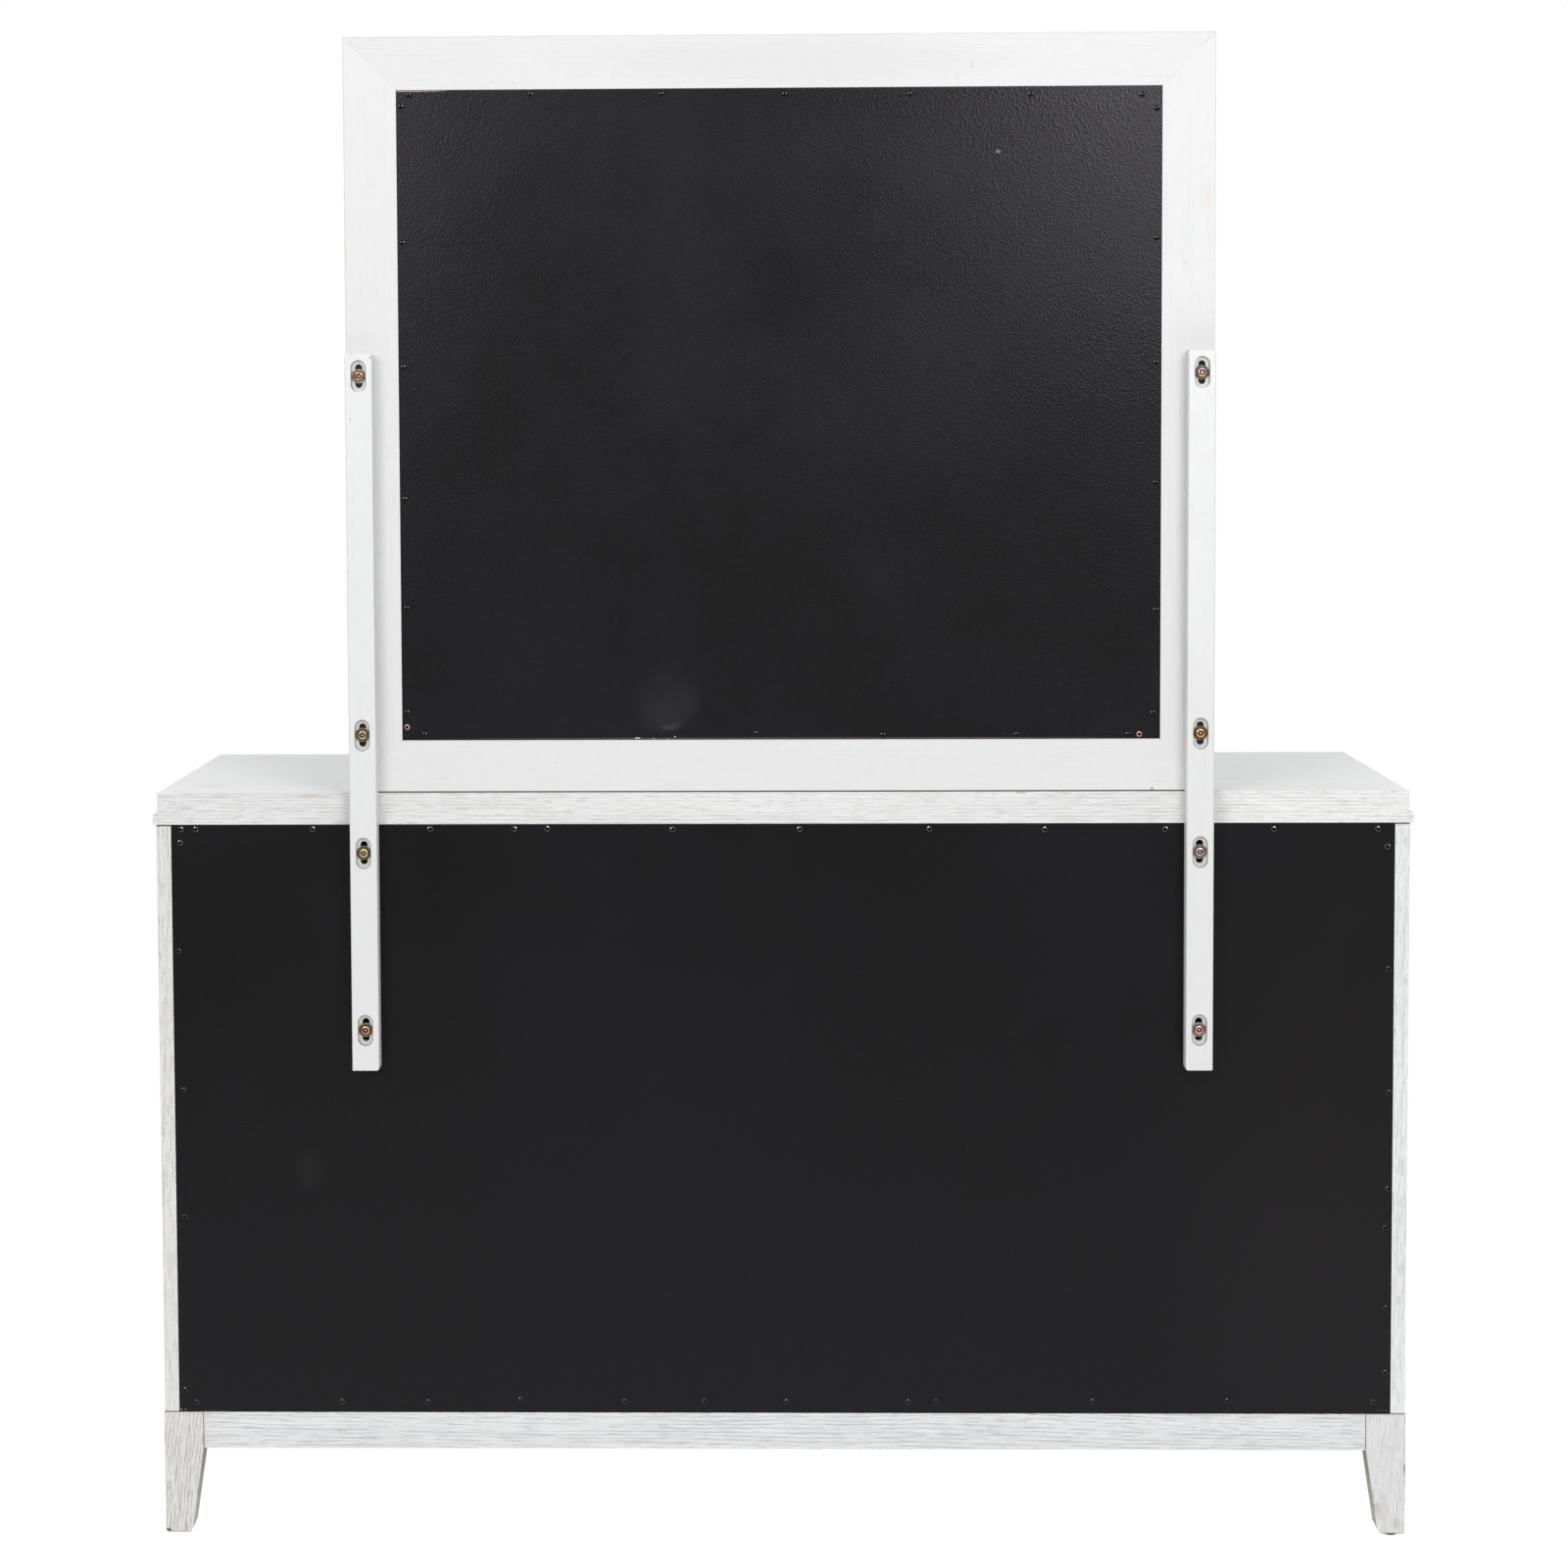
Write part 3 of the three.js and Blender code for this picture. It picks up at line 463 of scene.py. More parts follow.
BAND_GRAIN = {"heart": (0.2, 2.0), "spacing": 0.0046, "lines": 0.74, "streaks": 0.32, "tilt": 0.004,
              "warp": 0.004, "seed": 1.3, "bright": 0.25}
top_look = washed_wood(
    "top_wash", 0, (0.778, 0.777, 0.775), (0.48, 0.47, 0.45), faint=(1, 0.2262, 0.2272, 0.32),
    shade=(BAND_SHADE, BAND_END_LIGHT, TOP_SHADE), marks=TOP_MARKS,
    rims=(BEIGE_RIM, (((1, 0.2215, 0.2270),), WORN, 0.20, 0.54)), **BAND_GRAIN)
moulding_look = washed_wood(
    "moulding_wash", 0, (0.752, 0.752, 0.748), (0.48, 0.46, 0.43), shade=(BAND_SHADE, BAND_END_LIGHT),
    **BAND_GRAIN)
rear_apron_look = washed_wood(
    "rear_apron_wash", 0, (0.716, 0.724, 0.726), (0.32, 0.33, 0.35), heart=(0.225, 0.02),
    spacing=0.0054, lines=0.95, streaks=0.28, smudges=0.14, tilt=0.035, warp=0.016, seed=4.4,
    dashes=14.0, rims=((((2, 0.1120, 0.1106),), (0.34, 0.26, 0.20), 0.5, 0.60),
                       (((0, 0.700, 0.738),), WORN, 0.30, 0.40)))
apron_look = washed_wood("apron_wash", 0, WASH, WASH_LINE, heart=(-0.2, 0.03), tilt=0.03, seed=5.2)
side_apron_look = washed_wood(
    "side_apron_wash", 1, WASH, WASH_LINE, heart=(0.9, 0.03), tilt=0.03, seed=6.6)
leg_brushed_look = washed_wood(
    "leg_brushed_wash", 2, (0.692, 0.687, 0.670), (0.29, 0.265, 0.23), heart=(0.68, 0.17),
    spacing=0.0042, lines=0.70, streaks=0.24, smudges=0.18, tilt=0.16, warp=0.014, seed=7.9,
    dashes=40.0, rims=(FOOT_DIRT,), marks=LEG_MARKS)
leg_smooth_look = washed_wood(
    "leg_smooth_wash", 2, (0.670, 0.670, 0.667), (0.46, 0.45, 0.43), heart=(-0.70, 0.10),
    spacing=0.007, lines=0.16, streaks=0.20, smudges=0.40, tilt=0.05, warp=0.006, seed=8.3,
    dirt=(0.40, 0.38, 0.36), rims=(FOOT_DIRT,), marks=LEG_MARKS)
leg_front_look = washed_wood(
    "leg_front_wash", 2, WASH, (0.42, 0.40, 0.37), heart=(0.5, 0.1), lines=0.4, streaks=0.4,
    tilt=0.06, seed=9.1)
# painted shade on the inner faces of the legs: dark grey, lifting towards the foot
leg_inner_shade_look = washed_wood(
    "leg_inner_painted_shade", 2, (0.150, 0.145, 0.136), (0.08, 0.075, 0.07), heart=(0.5, 0.2), streaks=0.5,
    smudges=0.4, seed=9.7, shade=((((2, 0.110, 0.012),), (0.42, 0.41, 0.385), 0.75, 0),))
side_looks = {
    side: washed_wood(f"side_wash_{side}", 2, base, (0.46, 0.45, 0.43), spacing=0.010, lines=0.32,
                      heart=(0.3 * SIDES[side], 0.2), seed=10.4 + SIDES[side],
                      rims=(TOP_SEAM_SHADOW, LEG_SEAM), marks=SIDE_MARKS)
    for side, base in (("left", (0.738, 0.742, 0.742)), ("right", (0.692, 0.685, 0.674)))
}
frame_z_look = painted(
    "frame_paint_z", (0.703, 0.703, 0.700), seed=1.0, marks=FRAME_MARKS, rims=OUTER_LINE,
    shade=(STILE_SHADE, LEFT_STILE_SHADE, RIGHT_STILE_FOOT_SHADE))
# the rails' paint is a tone darker than the stiles', as painted shade
frame_x_look = painted(
    "frame_paint_x", (0.685, 0.685, 0.683), axis=0, seed=2.0, marks=FRAME_MARKS,
    rims=(RABBET_RIM, MIRROR_GAP_SHADOW) + OUTER_LINE, shade=(LOW_RAIL_SHADE,))
front_look = washed_wood(
    "front_wash", 0, FRONT_WASH, FRONT_LINE, heart=(-0.22, 1.4), spacing=0.010, lines=0.3,
    seed=11.7)
face_frame_look = washed_wood(
    "face_frame_wash", 0, FRONT_WASH, FRONT_LINE, heart=(0.2, -0.1), lines=0.25, seed=12.6,
    upright=(0.0201, 0.7488))
# one white paint in two tones, the right support's darker, as painted light and shade
support_looks = {
    side: painted(f"support_paint_{side}", base, seed=3.0 + SIDES[side], rough=0.36, smudges=0.08,
                  grain=0.04, shade=(SUPPORT_SHADE,), marks=SUPPORT_MARKS, rear=REAR_SUPPORT)
    for side, base in (("left", (0.738, 0.741, 0.738)), ("right", (0.718, 0.726, 0.720)))
}
edge_look = worn_edge("edge_wear", (0.76, 0.76, 0.75), BARE, amount=0.35)
edge_rough_look = worn_edge(
    "edge_wear_heavy", (0.66, 0.645, 0.61), GREY_BROWN, amount=0.6, seed=3.0, marks=LEG_MARKS)
frame_edge_look = worn_edge(
    "frame_edge_wear", (0.67, 0.665, 0.65), BARE, amount=0.35, seed=1.0, rims=(MIRROR_GAP_SHADOW,))
side_edge_look = worn_edge(
    "side_edge_wear", (0.75, 0.75, 0.74), BARE, amount=0.35, seed=2.0, rims=(TOP_SEAM_SHADOW, LEG_SEAM))
support_edge_look = worn_edge(
    "support_edge_wear", (0.70, 0.70, 0.70), (0.64, 0.59, 0.52), amount=0.4, seed=5.0)
rim_look = worn_edge("rim_wear", (0.45, 0.42, 0.38), (0.25, 0.21, 0.17), amount=0.8, seed=6.0)
foot_look = worn_edge(
    "foot_wear", (0.34, 0.32, 0.29), (0.10, 0.085, 0.07), amount=0.95, size=90.0, seed=7.0)
raw_x_look, raw_y_look, raw_z_look = (
    raw_wood(f"raw_wood_{axis}", i, 2.0 + i) for i, axis in enumerate("xyz"))
glass_look = silvered_glass()
glide_look = coated("glide_look", (0.018, 0.013, 0.010), (0.07, 0.055, 0.045), rough=0.6)
case_board_look = black_board("case_board", (0.0032, 0.0027, 0.0025), CASE_MARKS, 0.4, 0.21, 0.34)
mirror_board_look = black_board(
    "mirror_board", (0.0040, 0.0034, 0.0031), MIRROR_MARKS, 0.9, 0.29, 0.25)
pull_look = metal("pull_look", (0.085, 0.075, 0.065), (0.03, 0.027, 0.025), rough=0.38, size=150.0)
screw_look = coated(
    "screw_look", (0.002, 0.002, 0.002), (0.006, 0.006, 0.006), rough=0.24, size=900.0,
    specular=0.25, skin=0.000002, dull=0.04)
# the screws' bare shoulder rings in a lit copy and a darker shaded copy, and their painted highlights
# in a bright and a dim copy: painted light and shade; then copper
shoulder_look, dim_shoulder_look, glint_look, dim_glint_look, copper_look = (
    metal(f"screw_{name}", tint, dark, rough=rough, tarnish=tarnish, size=700.0)
    for name, tint, dark, rough, tarnish in (
        ("shoulder", (0.22, 0.22, 0.23), (0.05, 0.05, 0.055), 0.30, 0.8),
        ("shoulder_dim", (0.105, 0.105, 0.11), (0.03, 0.03, 0.03), 0.30, 0.8),
        ("glint", (0.95, 0.95, 0.95), (0.60, 0.60, 0.60), 0.46, 0.3),
        ("glint_dim", (0.58, 0.58, 0.58), (0.36, 0.36, 0.36), 0.46, 0.3),
        ("copper", (0.80, 0.50, 0.42), (0.24, 0.11, 0.08), 0.35, 0.6)))


# Pieces

def linked(name, data):
    made = bpy.data.objects.new(name, data)
    bpy.context.scene.collection.objects.link(made)
    return made


def meshed(name, bm, looks=()):
    """A mesh object made from bm, which ends here."""
    mesh = bpy.data.meshes.new(name)
    bm.to_mesh(mesh)
    bm.free()
    for look in looks:
        mesh.materials.append(look)
    return linked(name, mesh)


def piece(name, bm, looks, body, replaces=(), sharp=35.0, weighted=False):
    """A mesh that rides on a body, smooth but for edges past sharp degrees."""
    bmesh.ops.recalc_face_normals(bm, faces=bm.faces)
    for face in bm.faces:
        face.smooth = True
    for edge in bm.edges:
        if len(edge.link_faces) == 2 and edge.calc_face_angle(0.0) > math.radians(sharp):
            edge.smooth = False
    made = meshed(name, bm, looks)
    if weighted:
        made.modifiers.new("normals", "WEIGHTED_NORMAL").keep_sharp = True
    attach(made, body)
    if replaces:
        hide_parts(*replaces)
    return made


def eased(made, width, segments, method):
    ease = made.modifiers.new("ease", "BEVEL")
    ease.width = width * MM
    ease.segments = segments
    ease.limit_method = method
    ease.use_clamp_overlap = False
    return ease


def dress(name, look, width, edge=None, segments=2):
    """A CAD node that stays: its look, and edges eased by a width in mm, worn if edge is given."""
    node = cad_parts[name]
    looks = node.data.materials
    looks[0] = look
    looks.append(edge or look)
    weld = node.modifiers.new("weld", "WELD")
    weld.merge_threshold = 0.00001
    flat = node.modifiers.new("flat", "DECIMATE")
    flat.decimate_type = "DISSOLVE"
    flat.angle_limit = math.radians(1.0)
    ease = eased(node, width, segments, "ANGLE")
    ease.angle_limit = math.radians(40)
    ease.material = EDGE_SLOT


def turned(bm, profile, sides, place, facet=None):
    """Turns (radius, height) points in mm round local Z, into rings of points and bands of faces.

    A point on the axis is a ring of one. facet(angle, index) scales the radius of a ring.
    """
    rings, bands = [], []
    for index, (radius, height) in enumerate(profile):
        ring = []
        for k in range(sides if radius else 1):
            angle = 2 * math.pi * k / sides
            r = radius * MM * (facet(angle, index) if facet else 1.0)
            point = Vector((r * math.cos(angle), r * math.sin(angle), height * MM))
            ring.append(bm.verts.new(place @ point))
        rings.append(ring)
    for low, high in zip(rings, rings[1:]):
        band = []
        for k in range(sides):
            ends = ((low, k), (low, k + 1), (high, k + 1), (high, k))
            corners = dict.fromkeys(ring[i % len(ring)] for ring, i in ends)
            band.append(bm.faces.new(list(corners)))
        bands.append(band)
    return rings, bands


def coloured(bands, indices, slot):
    for index in indices:
        for face in bands[index]:
            face.material_index = slot


def facing(x, y, z, spin=0.0):
    """Places local Z along +Y, at a point given in metres."""
    return Matrix.Translation((x, y, z)) @ Matrix.Rotation(-math.pi / 2, 4, "X") \
        @ Matrix.Rotation(spin, 4, "Z")


# Nodes of the case and the mirror

for side in SIDES:
    dress(f"side_panel_{side}", side_looks[side], 0.45, side_edge_look)
    dress(f"rear_post_{side}", raw_z_look, 0.5)
    dress(f"bottom_guide_{side}", raw_y_look, 0.5)
    dress(f"apron_{side}", side_apron_look, 0.8, edge_look)
    dress(f"mirror_frame_{side}", frame_z_look, 0.25, frame_edge_look)
    for level in ("lower", "upper"):
        dress(f"dust_panel_{level}_{side}", raw_x_look, 0.4)
    for row in ROWS:
        dress(f"drawer_front_{row}_{side}", front_look, 1.6, edge_look, segments=3)
        dress(f"drawer_box_{row}_{side}", raw_y_look, 0.6)
dress("apron_front", apron_look, 0.8, edge_look)
dress("apron_rear", rear_apron_look, 0.7, edge_rough_look)
dress("top_board", top_look, 0.35, edge_look)
dress("top_moulding", moulding_look, 0.35, edge_look)
dress("face_frame", face_frame_look, 0.6, edge_look)
dress("centre_partition", raw_z_look, 0.4)
dress("bottom_panel", raw_x_look, 0.4)
dress("back_rail_upper", raw_x_look, 0.5)
dress("back_rail_middle", raw_x_look, 0.5)
dress("back_panel", case_board_look, 0.3)
dress("mirror_back_panel", mirror_board_look, 0.3)
dress("mirror_frame_bottom", frame_x_look, 0.25, frame_edge_look)
dress("mirror_frame_top", frame_x_look, 0.25, frame_edge_look)
dress("mirror_glass", glass_look, 0.4)


# Filled seams

FILL_BACK, FILL_HALF = 0.25 * MM, 0.24 * MM
FILL_INSET, LIP_DEPTH = 0.5 * MM, 12.5 * MM


def strip(bm, start, end, low_y, high_y):
    """A thin plate of filler between two points of the X-Z plane."""
    start, end = Vector(start), Vector(end)
    run = (end - start).normalized()
    side = Vector((-run.y, run.x)) * FILL_HALF
    corners = (start + side, end + side, end - side, start - side)
    low = [bm.verts.new((c.x, low_y, c.y)) for c in corners]
    high = [bm.verts.new((c.x, high_y, c.y)) for c in corners]
    bm.faces.new(low)
    bm.faces.new(reversed(high))
    for k in range(4):
        n = (k + 1) % 4
        bm.faces.new((low[k], high[k], high[n], low[n]))


def mitre_fills():
    """Filler in the four mitres, just under the paint, front and back of the rabbet."""
    low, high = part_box("mirror_frame_left")[0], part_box("mirror_frame_right")[1]
    panel_low, panel_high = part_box("mirror_back_panel")
    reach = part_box("mirror_frame_bottom")[1].z - low.z - FILL_INSET
    bm = bmesh.new()
    for x, panel_x, sign in ((low.x, panel_low.x, 1), (high.x, panel_high.x, -1)):
        for z, panel_z, up in ((low.z, panel_low.z, 1), (high.z, panel_high.z, -1)):
            corner = (x + sign * FILL_INSET, z + up * FILL_INSET)
            rabbet = (panel_x - sign * FILL_INSET, panel_z - up * FILL_INSET)
            inner = (x + sign * reach, z + up * reach)
            strip(bm, corner, rabbet, low.y + FILL_BACK, high.y - FILL_BACK)
            strip(bm, rabbet, inner, low.y + FILL_BACK, low.y + LIP_DEPTH)
    piece("mirror_mitre_fills", bm, (frame_x_look,), "mirror")


def top_fill():
    """The glue line between the top board and the moulding under it."""
    low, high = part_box("top_board")
    seam_z = (low.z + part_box("top_moulding")[1].z) / 2
    bm = bmesh.new()
    strip(bm, (low.x + FILL_BACK, seam_z), (high.x - FILL_BACK, seam_z), low.y + FILL_BACK,
          high.y - FILL_BACK)
    piece("top_glue_line", bm, (moulding_look,), "case")


mitre_fills()
top_fill()


# Legs

LEG_TOP, LEG_STRAIGHT = 157.2, 110.0
LEG_WIDTHS, LEG_DEPTHS = (50.0, 34.4), (36.0, 33.4)  # above the taper and at the foot
TAPER_RINGS = (40.0, 75.0)
# inset and height of the eased ends, and depth of the inner chamfer as a share of its width
FOOT_LIP, FOOT_EASE, TOP_LIP, TOP_EASE, CHAMFER_DEPTH_SHARE = 0.7, 1.0, 0.5, 0.6, 0.4
EDGE_POINTS = 4
# slots of a leg: the foot's wear, and the painted shade on its inner faces
FOOT_SLOT, INNER_SHADE_SLOT = 2, 3
GLIDE_PLACE, GLIDE_SINK, GLIDE_SIDES = (17.0, 11.0), 0.1, 40
# look, rounding of the long edges, width and height of the inner and of the outer chamfer at
# the foot, and height of the foot, in mm
LEGS = {
    ("rear", "right"): (leg_brushed_look, 1.4, (2.2, 7.0), (2.2, 2.6), 1.2),
    ("rear", "left"): (leg_smooth_look, 1.6, (3.2, 7.0), (1.0, 1.5), 3.0),
    ("front", "right"): (leg_front_look, 1.5, (1.5, 1.5), (1.2, 1.5), 3.0),
    ("front", "left"): (leg_front_look, 1.5, (1.5, 1.5), (1.2, 1.5), 3.0),
}


def leg_ring(bm, z, low_u, high_u, low_v, high_v, radius, place):
    """One level of a leg: a rectangle with rounded corners, u and v in mm from the outer faces."""
    ring = []
    corners = ((high_u, high_v, 0), (low_u, high_v, 90), (low_u, low_v, 180), (high_u, low_v, 270))
    for u, v, start in corners:
        cu = u - radius if u == high_u else u + radius
        cv = v - radius if v == high_v else v + radius
        for k in range(EDGE_POINTS):
            angle = math.radians(start + 90 * k / (EDGE_POINTS - 1))
            ring.append(bm.verts.new(place(cu + radius * math.cos(angle),
                                           cv + radius * math.sin(angle), z)))
    return ring


def make_leg(end, side):
    look, radius, inner_cut, outer_cut, foot_z = LEGS[end, side]
    out_wide, out_high = outer_cut
    lowest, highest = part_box(f"leg_{end}_{side}")
    outer_x, inward_x = (highest.x, -MM) if SIDES[side] > 0 else (lowest.x, MM)
    outer_y, inward_y = (highest.y, -MM) if end == "rear" else (lowest.y, MM)

    def place(u, v, z):
        return Vector((outer_x + u * inward_x, outer_y + v * inward_y, z * MM))

    bm = bmesh.new()
    rings = []
    levels = (foot_z, foot_z + FOOT_EASE, foot_z + out_high, foot_z + inner_cut[1], *TAPER_RINGS,
              LEG_STRAIGHT, LEG_TOP - TOP_EASE, LEG_TOP)
    for z in sorted(set(levels)):
        share = max(0.0, (LEG_STRAIGHT - z) / (LEG_STRAIGHT - foot_z))
        wide, deep = (high + (low - high) * share for high, low in (LEG_WIDTHS, LEG_DEPTHS))
        inner, outer = (cut * max(0.0, 1 - (z - foot_z) / rise) for cut, rise in (inner_cut, outer_cut))
        lip = {foot_z: FOOT_LIP, LEG_TOP: TOP_LIP}.get(z, 0.0)
        rings.append(leg_ring(bm, z, outer + lip, wide - inner - lip, lip,
                              deep - inner * CHAMFER_DEPTH_SHARE - lip, radius, place))
    count = 4 * EDGE_POINTS
    outer_side = range(EDGE_POINTS, 3 * EDGE_POINTS - 1)
    inner_side = (*range(EDGE_POINTS - 1), count - 2, count - 1)
    for low, high in zip(rings, rings[1:]):
        for k in range(count):
            n = (k + 1) % count
            face = bm.faces.new((low[k], low[n], high[n], high[k]))
            mid = face.calc_center_median().z / MM
            chamfered = out_wide > 2 and k in outer_side and mid < foot_z + out_high
            if mid < foot_z + FOOT_EASE or chamfered:
                face.material_index = FOOT_SLOT
            elif k in inner_side:
                face.material_index = INNER_SHADE_SLOT
            elif k % EDGE_POINTS != EDGE_POINTS - 1:
                face.material_index = EDGE_SLOT
    bm.faces.new(rings[0]).material_index = FOOT_SLOT
    bm.faces.new(rings[-1])
    piece(f"leg_wood_{end}_{side}", bm, (look, edge_rough_look, foot_look, leg_inner_shade_look),
          "case", (f"leg_{end}_{side}",), sharp=50, weighted=True)
    glide = bmesh.new()
    seat = foot_z + GLIDE_SINK
    profile = ((0, 0), (7.6, 0), (8.3, 0.3), (8.8, 1.2), (8.8, min(2.4, foot_z - GLIDE_SINK)),
               (8.2, seat), (0, seat))
    turned(glide, profile, GLIDE_SIDES, Matrix.Translation(place(*GLIDE_PLACE, 0.0)))
    piece(f"glide_{end}_{side}", glide, (glide_look,), "case", weighted=True)


for end, side in LEGS:
    make_leg(end, side)


# Supports

# heights of the slots, half width and straight run of them and of their counterbores, and depth
# of the counterbores, in mm
SLOT_HEIGHTS = (654.0, 878.5, 1027.0, 1476.0)
SLOT, BORE, BORE_DEPTH = (4.5, 20.5), (9.4, 20.7), 6.0
ARC_STEPS, RIM_SLOT = 16, 1
# widths of the eased edges, in mm
SUPPORT_EDGE, FOOT_EDGE, RIM_EDGE, SLOT_EDGE = 1.6, 4.0, 0.5, 0.3
NEAR = 0.001


def stadium(cx, cz, half, run):
    """Points of a slot with round ends, from its lowest point up the -X side and down the other."""
    left = []
    for k in range(ARC_STEPS + 1):
        angle = math.pi / 2 * k / ARC_STEPS
        left.append((cx - half * math.sin(angle), cz - run / 2 - half * math.cos(angle)))
    left += [(x, 2 * cz - z) for x, z in reversed(left)]
    right = [(2 * cx - x, z) for x, z in reversed(left)][1:-1]
    return left, right


def make_support(side):
    low, high = (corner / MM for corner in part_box(f"support_{side}"))
    cx, floor_y = (low.x + high.x) / 2, high.y - BORE_DEPTH
    across = (low.x, cx, high.x)
    bm = bmesh.new()
    mark = bm.edges.layers.float.new("bevel_weight_edge")
    made = {}

    def vertex(x, y, z):
        key = (round(x, 3), round(y, 3), round(z, 3))
        if key not in made:
            made[key] = bm.verts.new(Vector((x, y, z)) * MM)
        return made[key]

    def fill(points, y):
        bm.faces.new([vertex(x, y, z) for x, z in points])

    def wall(loop, near, far, near_edge, far_edge):
        """The inside of a slot between two depths, with the widths of its eased rims."""
        for (ax, az), (bx, bz) in zip(loop, loop[1:] + loop[:1]):
            corners = ((ax, near, az), (bx, near, bz), (bx, far, bz), (ax, far, az))
            face = bm.faces.new([vertex(*corner) for corner in corners])
            face.material_index = RIM_SLOT
            for edge in face.edges:
                for depth, width in ((near, near_edge), (far, far_edge)):
                    if all(abs(v.co.y / MM - depth) < NEAR for v in edge.verts):
                        edge[mark] = width

    def band(bottom, top, y):
        fill([(x, bottom) for x in across] + [(x, top) for x in reversed(across)], y)

    def slab(y, half, run):
        """A face of the support at depth y, in halves round each slot and bands between them."""
        level = low.z
        for h in SLOT_HEIGHTS:
            bottom, top = h - run / 2 - half, h + run / 2 + half
            band(level, bottom, y)
            left, right = stadium(cx, h, half, run)
            fill([(low.x, bottom)] + left + [(low.x, top)], y)
            fill([(high.x, top), (cx, top)] + right + [(cx, bottom), (high.x, bottom)], y)
            level = top
        band(level, high.z, y)

    def side_heights(y):
        return sorted({round(v.co.z / MM, 3) for v in bm.verts
                       if abs(v.co.x / MM - low.x) < NEAR and abs(v.co.y / MM - y) < NEAR})

    slab(high.y, *BORE)
    slab(low.y, *SLOT)
    for h in SLOT_HEIGHTS:
        big_left, big_right = stadium(cx, h, *BORE)
        small_left, small_right = stadium(cx, h, *SLOT)
        wall(big_left + big_right, high.y, floor_y, RIM_EDGE, 0.0)
        wall(small_left + small_right, floor_y, low.y, SLOT_EDGE, SLOT_EDGE)
        fill(big_left + list(reversed(small_left)), floor_y)
        fill([big_left[-1]] + big_right + [big_left[0], small_left[0]]
             + list(reversed(small_right)) + [small_left[-1]], floor_y)
    rear, front = side_heights(high.y), side_heights(low.y)
    for x in (low.x, high.x):
        bm.faces.new([vertex(x, high.y, z) for z in rear]
                     + [vertex(x, low.y, z) for z in reversed(front)])
    for z in (low.z, high.z):
        bm.faces.new([vertex(x, high.y, z) for x in across]
                     + [vertex(x, low.y, z) for x in reversed(across)])
    for edge in bm.edges:
        a, b = (v.co / MM for v in edge.verts)
        limits = sum(abs(a[i] - corner[i]) < NEAR and abs(b[i] - corner[i]) < NEAR
                     for i in range(3) for corner in (low, high))
        if limits >= 2:
            inner_foot = abs(a.y - b.y) > 1 and all(
                abs(p.x) < abs(cx) and abs(p.z - low.z) < NEAR for p in (a, b))
            edge[mark] = FOOT_EDGE if inner_foot else SUPPORT_EDGE
    post = piece(f"support_post_{side}", bm, (support_looks[side], rim_look, support_edge_look),
                 "supports", (f"support_{side}",), sharp=40)
    eased(post, 1.0, 3, "WEIGHT")
    post.modifiers.new("normals", "WEIGHTED_NORMAL").keep_sharp = True


for side in SIDES:
    make_support(side)


# Bolts

rng = random.Random(11)

SEAT_Y, BOLT_SIDES = 246.95, 48
# tints of the head and of the washers
BOLT_TINTS = {
    "mirror_bolt_upper_right": ((0.76, 0.52, 0.40), (0.42, 0.38, 0.31)),
    "mirror_bolt_lower_right": ((0.64, 0.58, 0.42), (0.26, 0.22, 0.15)),
    "case_bolt_upper_right": ((0.74, 0.71, 0.40), (0.17, 0.155, 0.09)),
    "case_bolt_lower_right": ((0.60, 0.45, 0.30), (0.30, 0.235, 0.17)),
    "mirror_bolt_upper_left": ((0.80, 0.69, 0.66), (0.18, 0.155, 0.12)),
    "mirror_bolt_lower_left": ((0.76, 0.54, 0.32), (0.21, 0.15, 0.10)),
    "case_bolt_upper_left": ((0.74, 0.65, 0.63), (0.34, 0.31, 0.29)),
    "case_bolt_lower_left": ((0.84, 0.62, 0.58), (0.42, 0.36, 0.34)),
}
# radius and height above the seat, in mm: the shank, two washers, the head and its socket
BOLT_PROFILE = (
    (0, -38.6), (3.1, -38.6), (3.75, -37.9), (3.75, 0.0), (8.7, 0.0), (9.0, 0.25), (9.0, 1.35),
    (8.7, 1.6), (7.0, 1.6), (7.2, 1.8), (7.2, 2.45), (6.9, 2.7), (5.5, 2.7), (5.8, 2.95),
    (5.8, 3.4), (5.6, 4.0), (5.15, 4.6), (4.5, 5.0), (3.9, 5.15), (3.4, 5.0), (2.9, 4.6),
    (2.9, 3.7), (1.3, 3.66), (0, 3.6),
)
SOCKET_RINGS = (20, 21)
WASHER_SLOT, SHADOW_SLOT = 1, 2
WASHER_BANDS, SHADOW_BANDS = (*range(6), *range(7, 11)), (*range(11, 15), *range(18, 22))


def six_sided(angle, index):
    if index not in SOCKET_RINGS:
        return 1.0
    return math.cos(math.pi / 6) / math.cos(angle % (math.pi / 3) - math.pi / 6)


def toned(tone, *shares):
    return tuple(min(0.97, c * share) for c, share in zip(tone, shares))


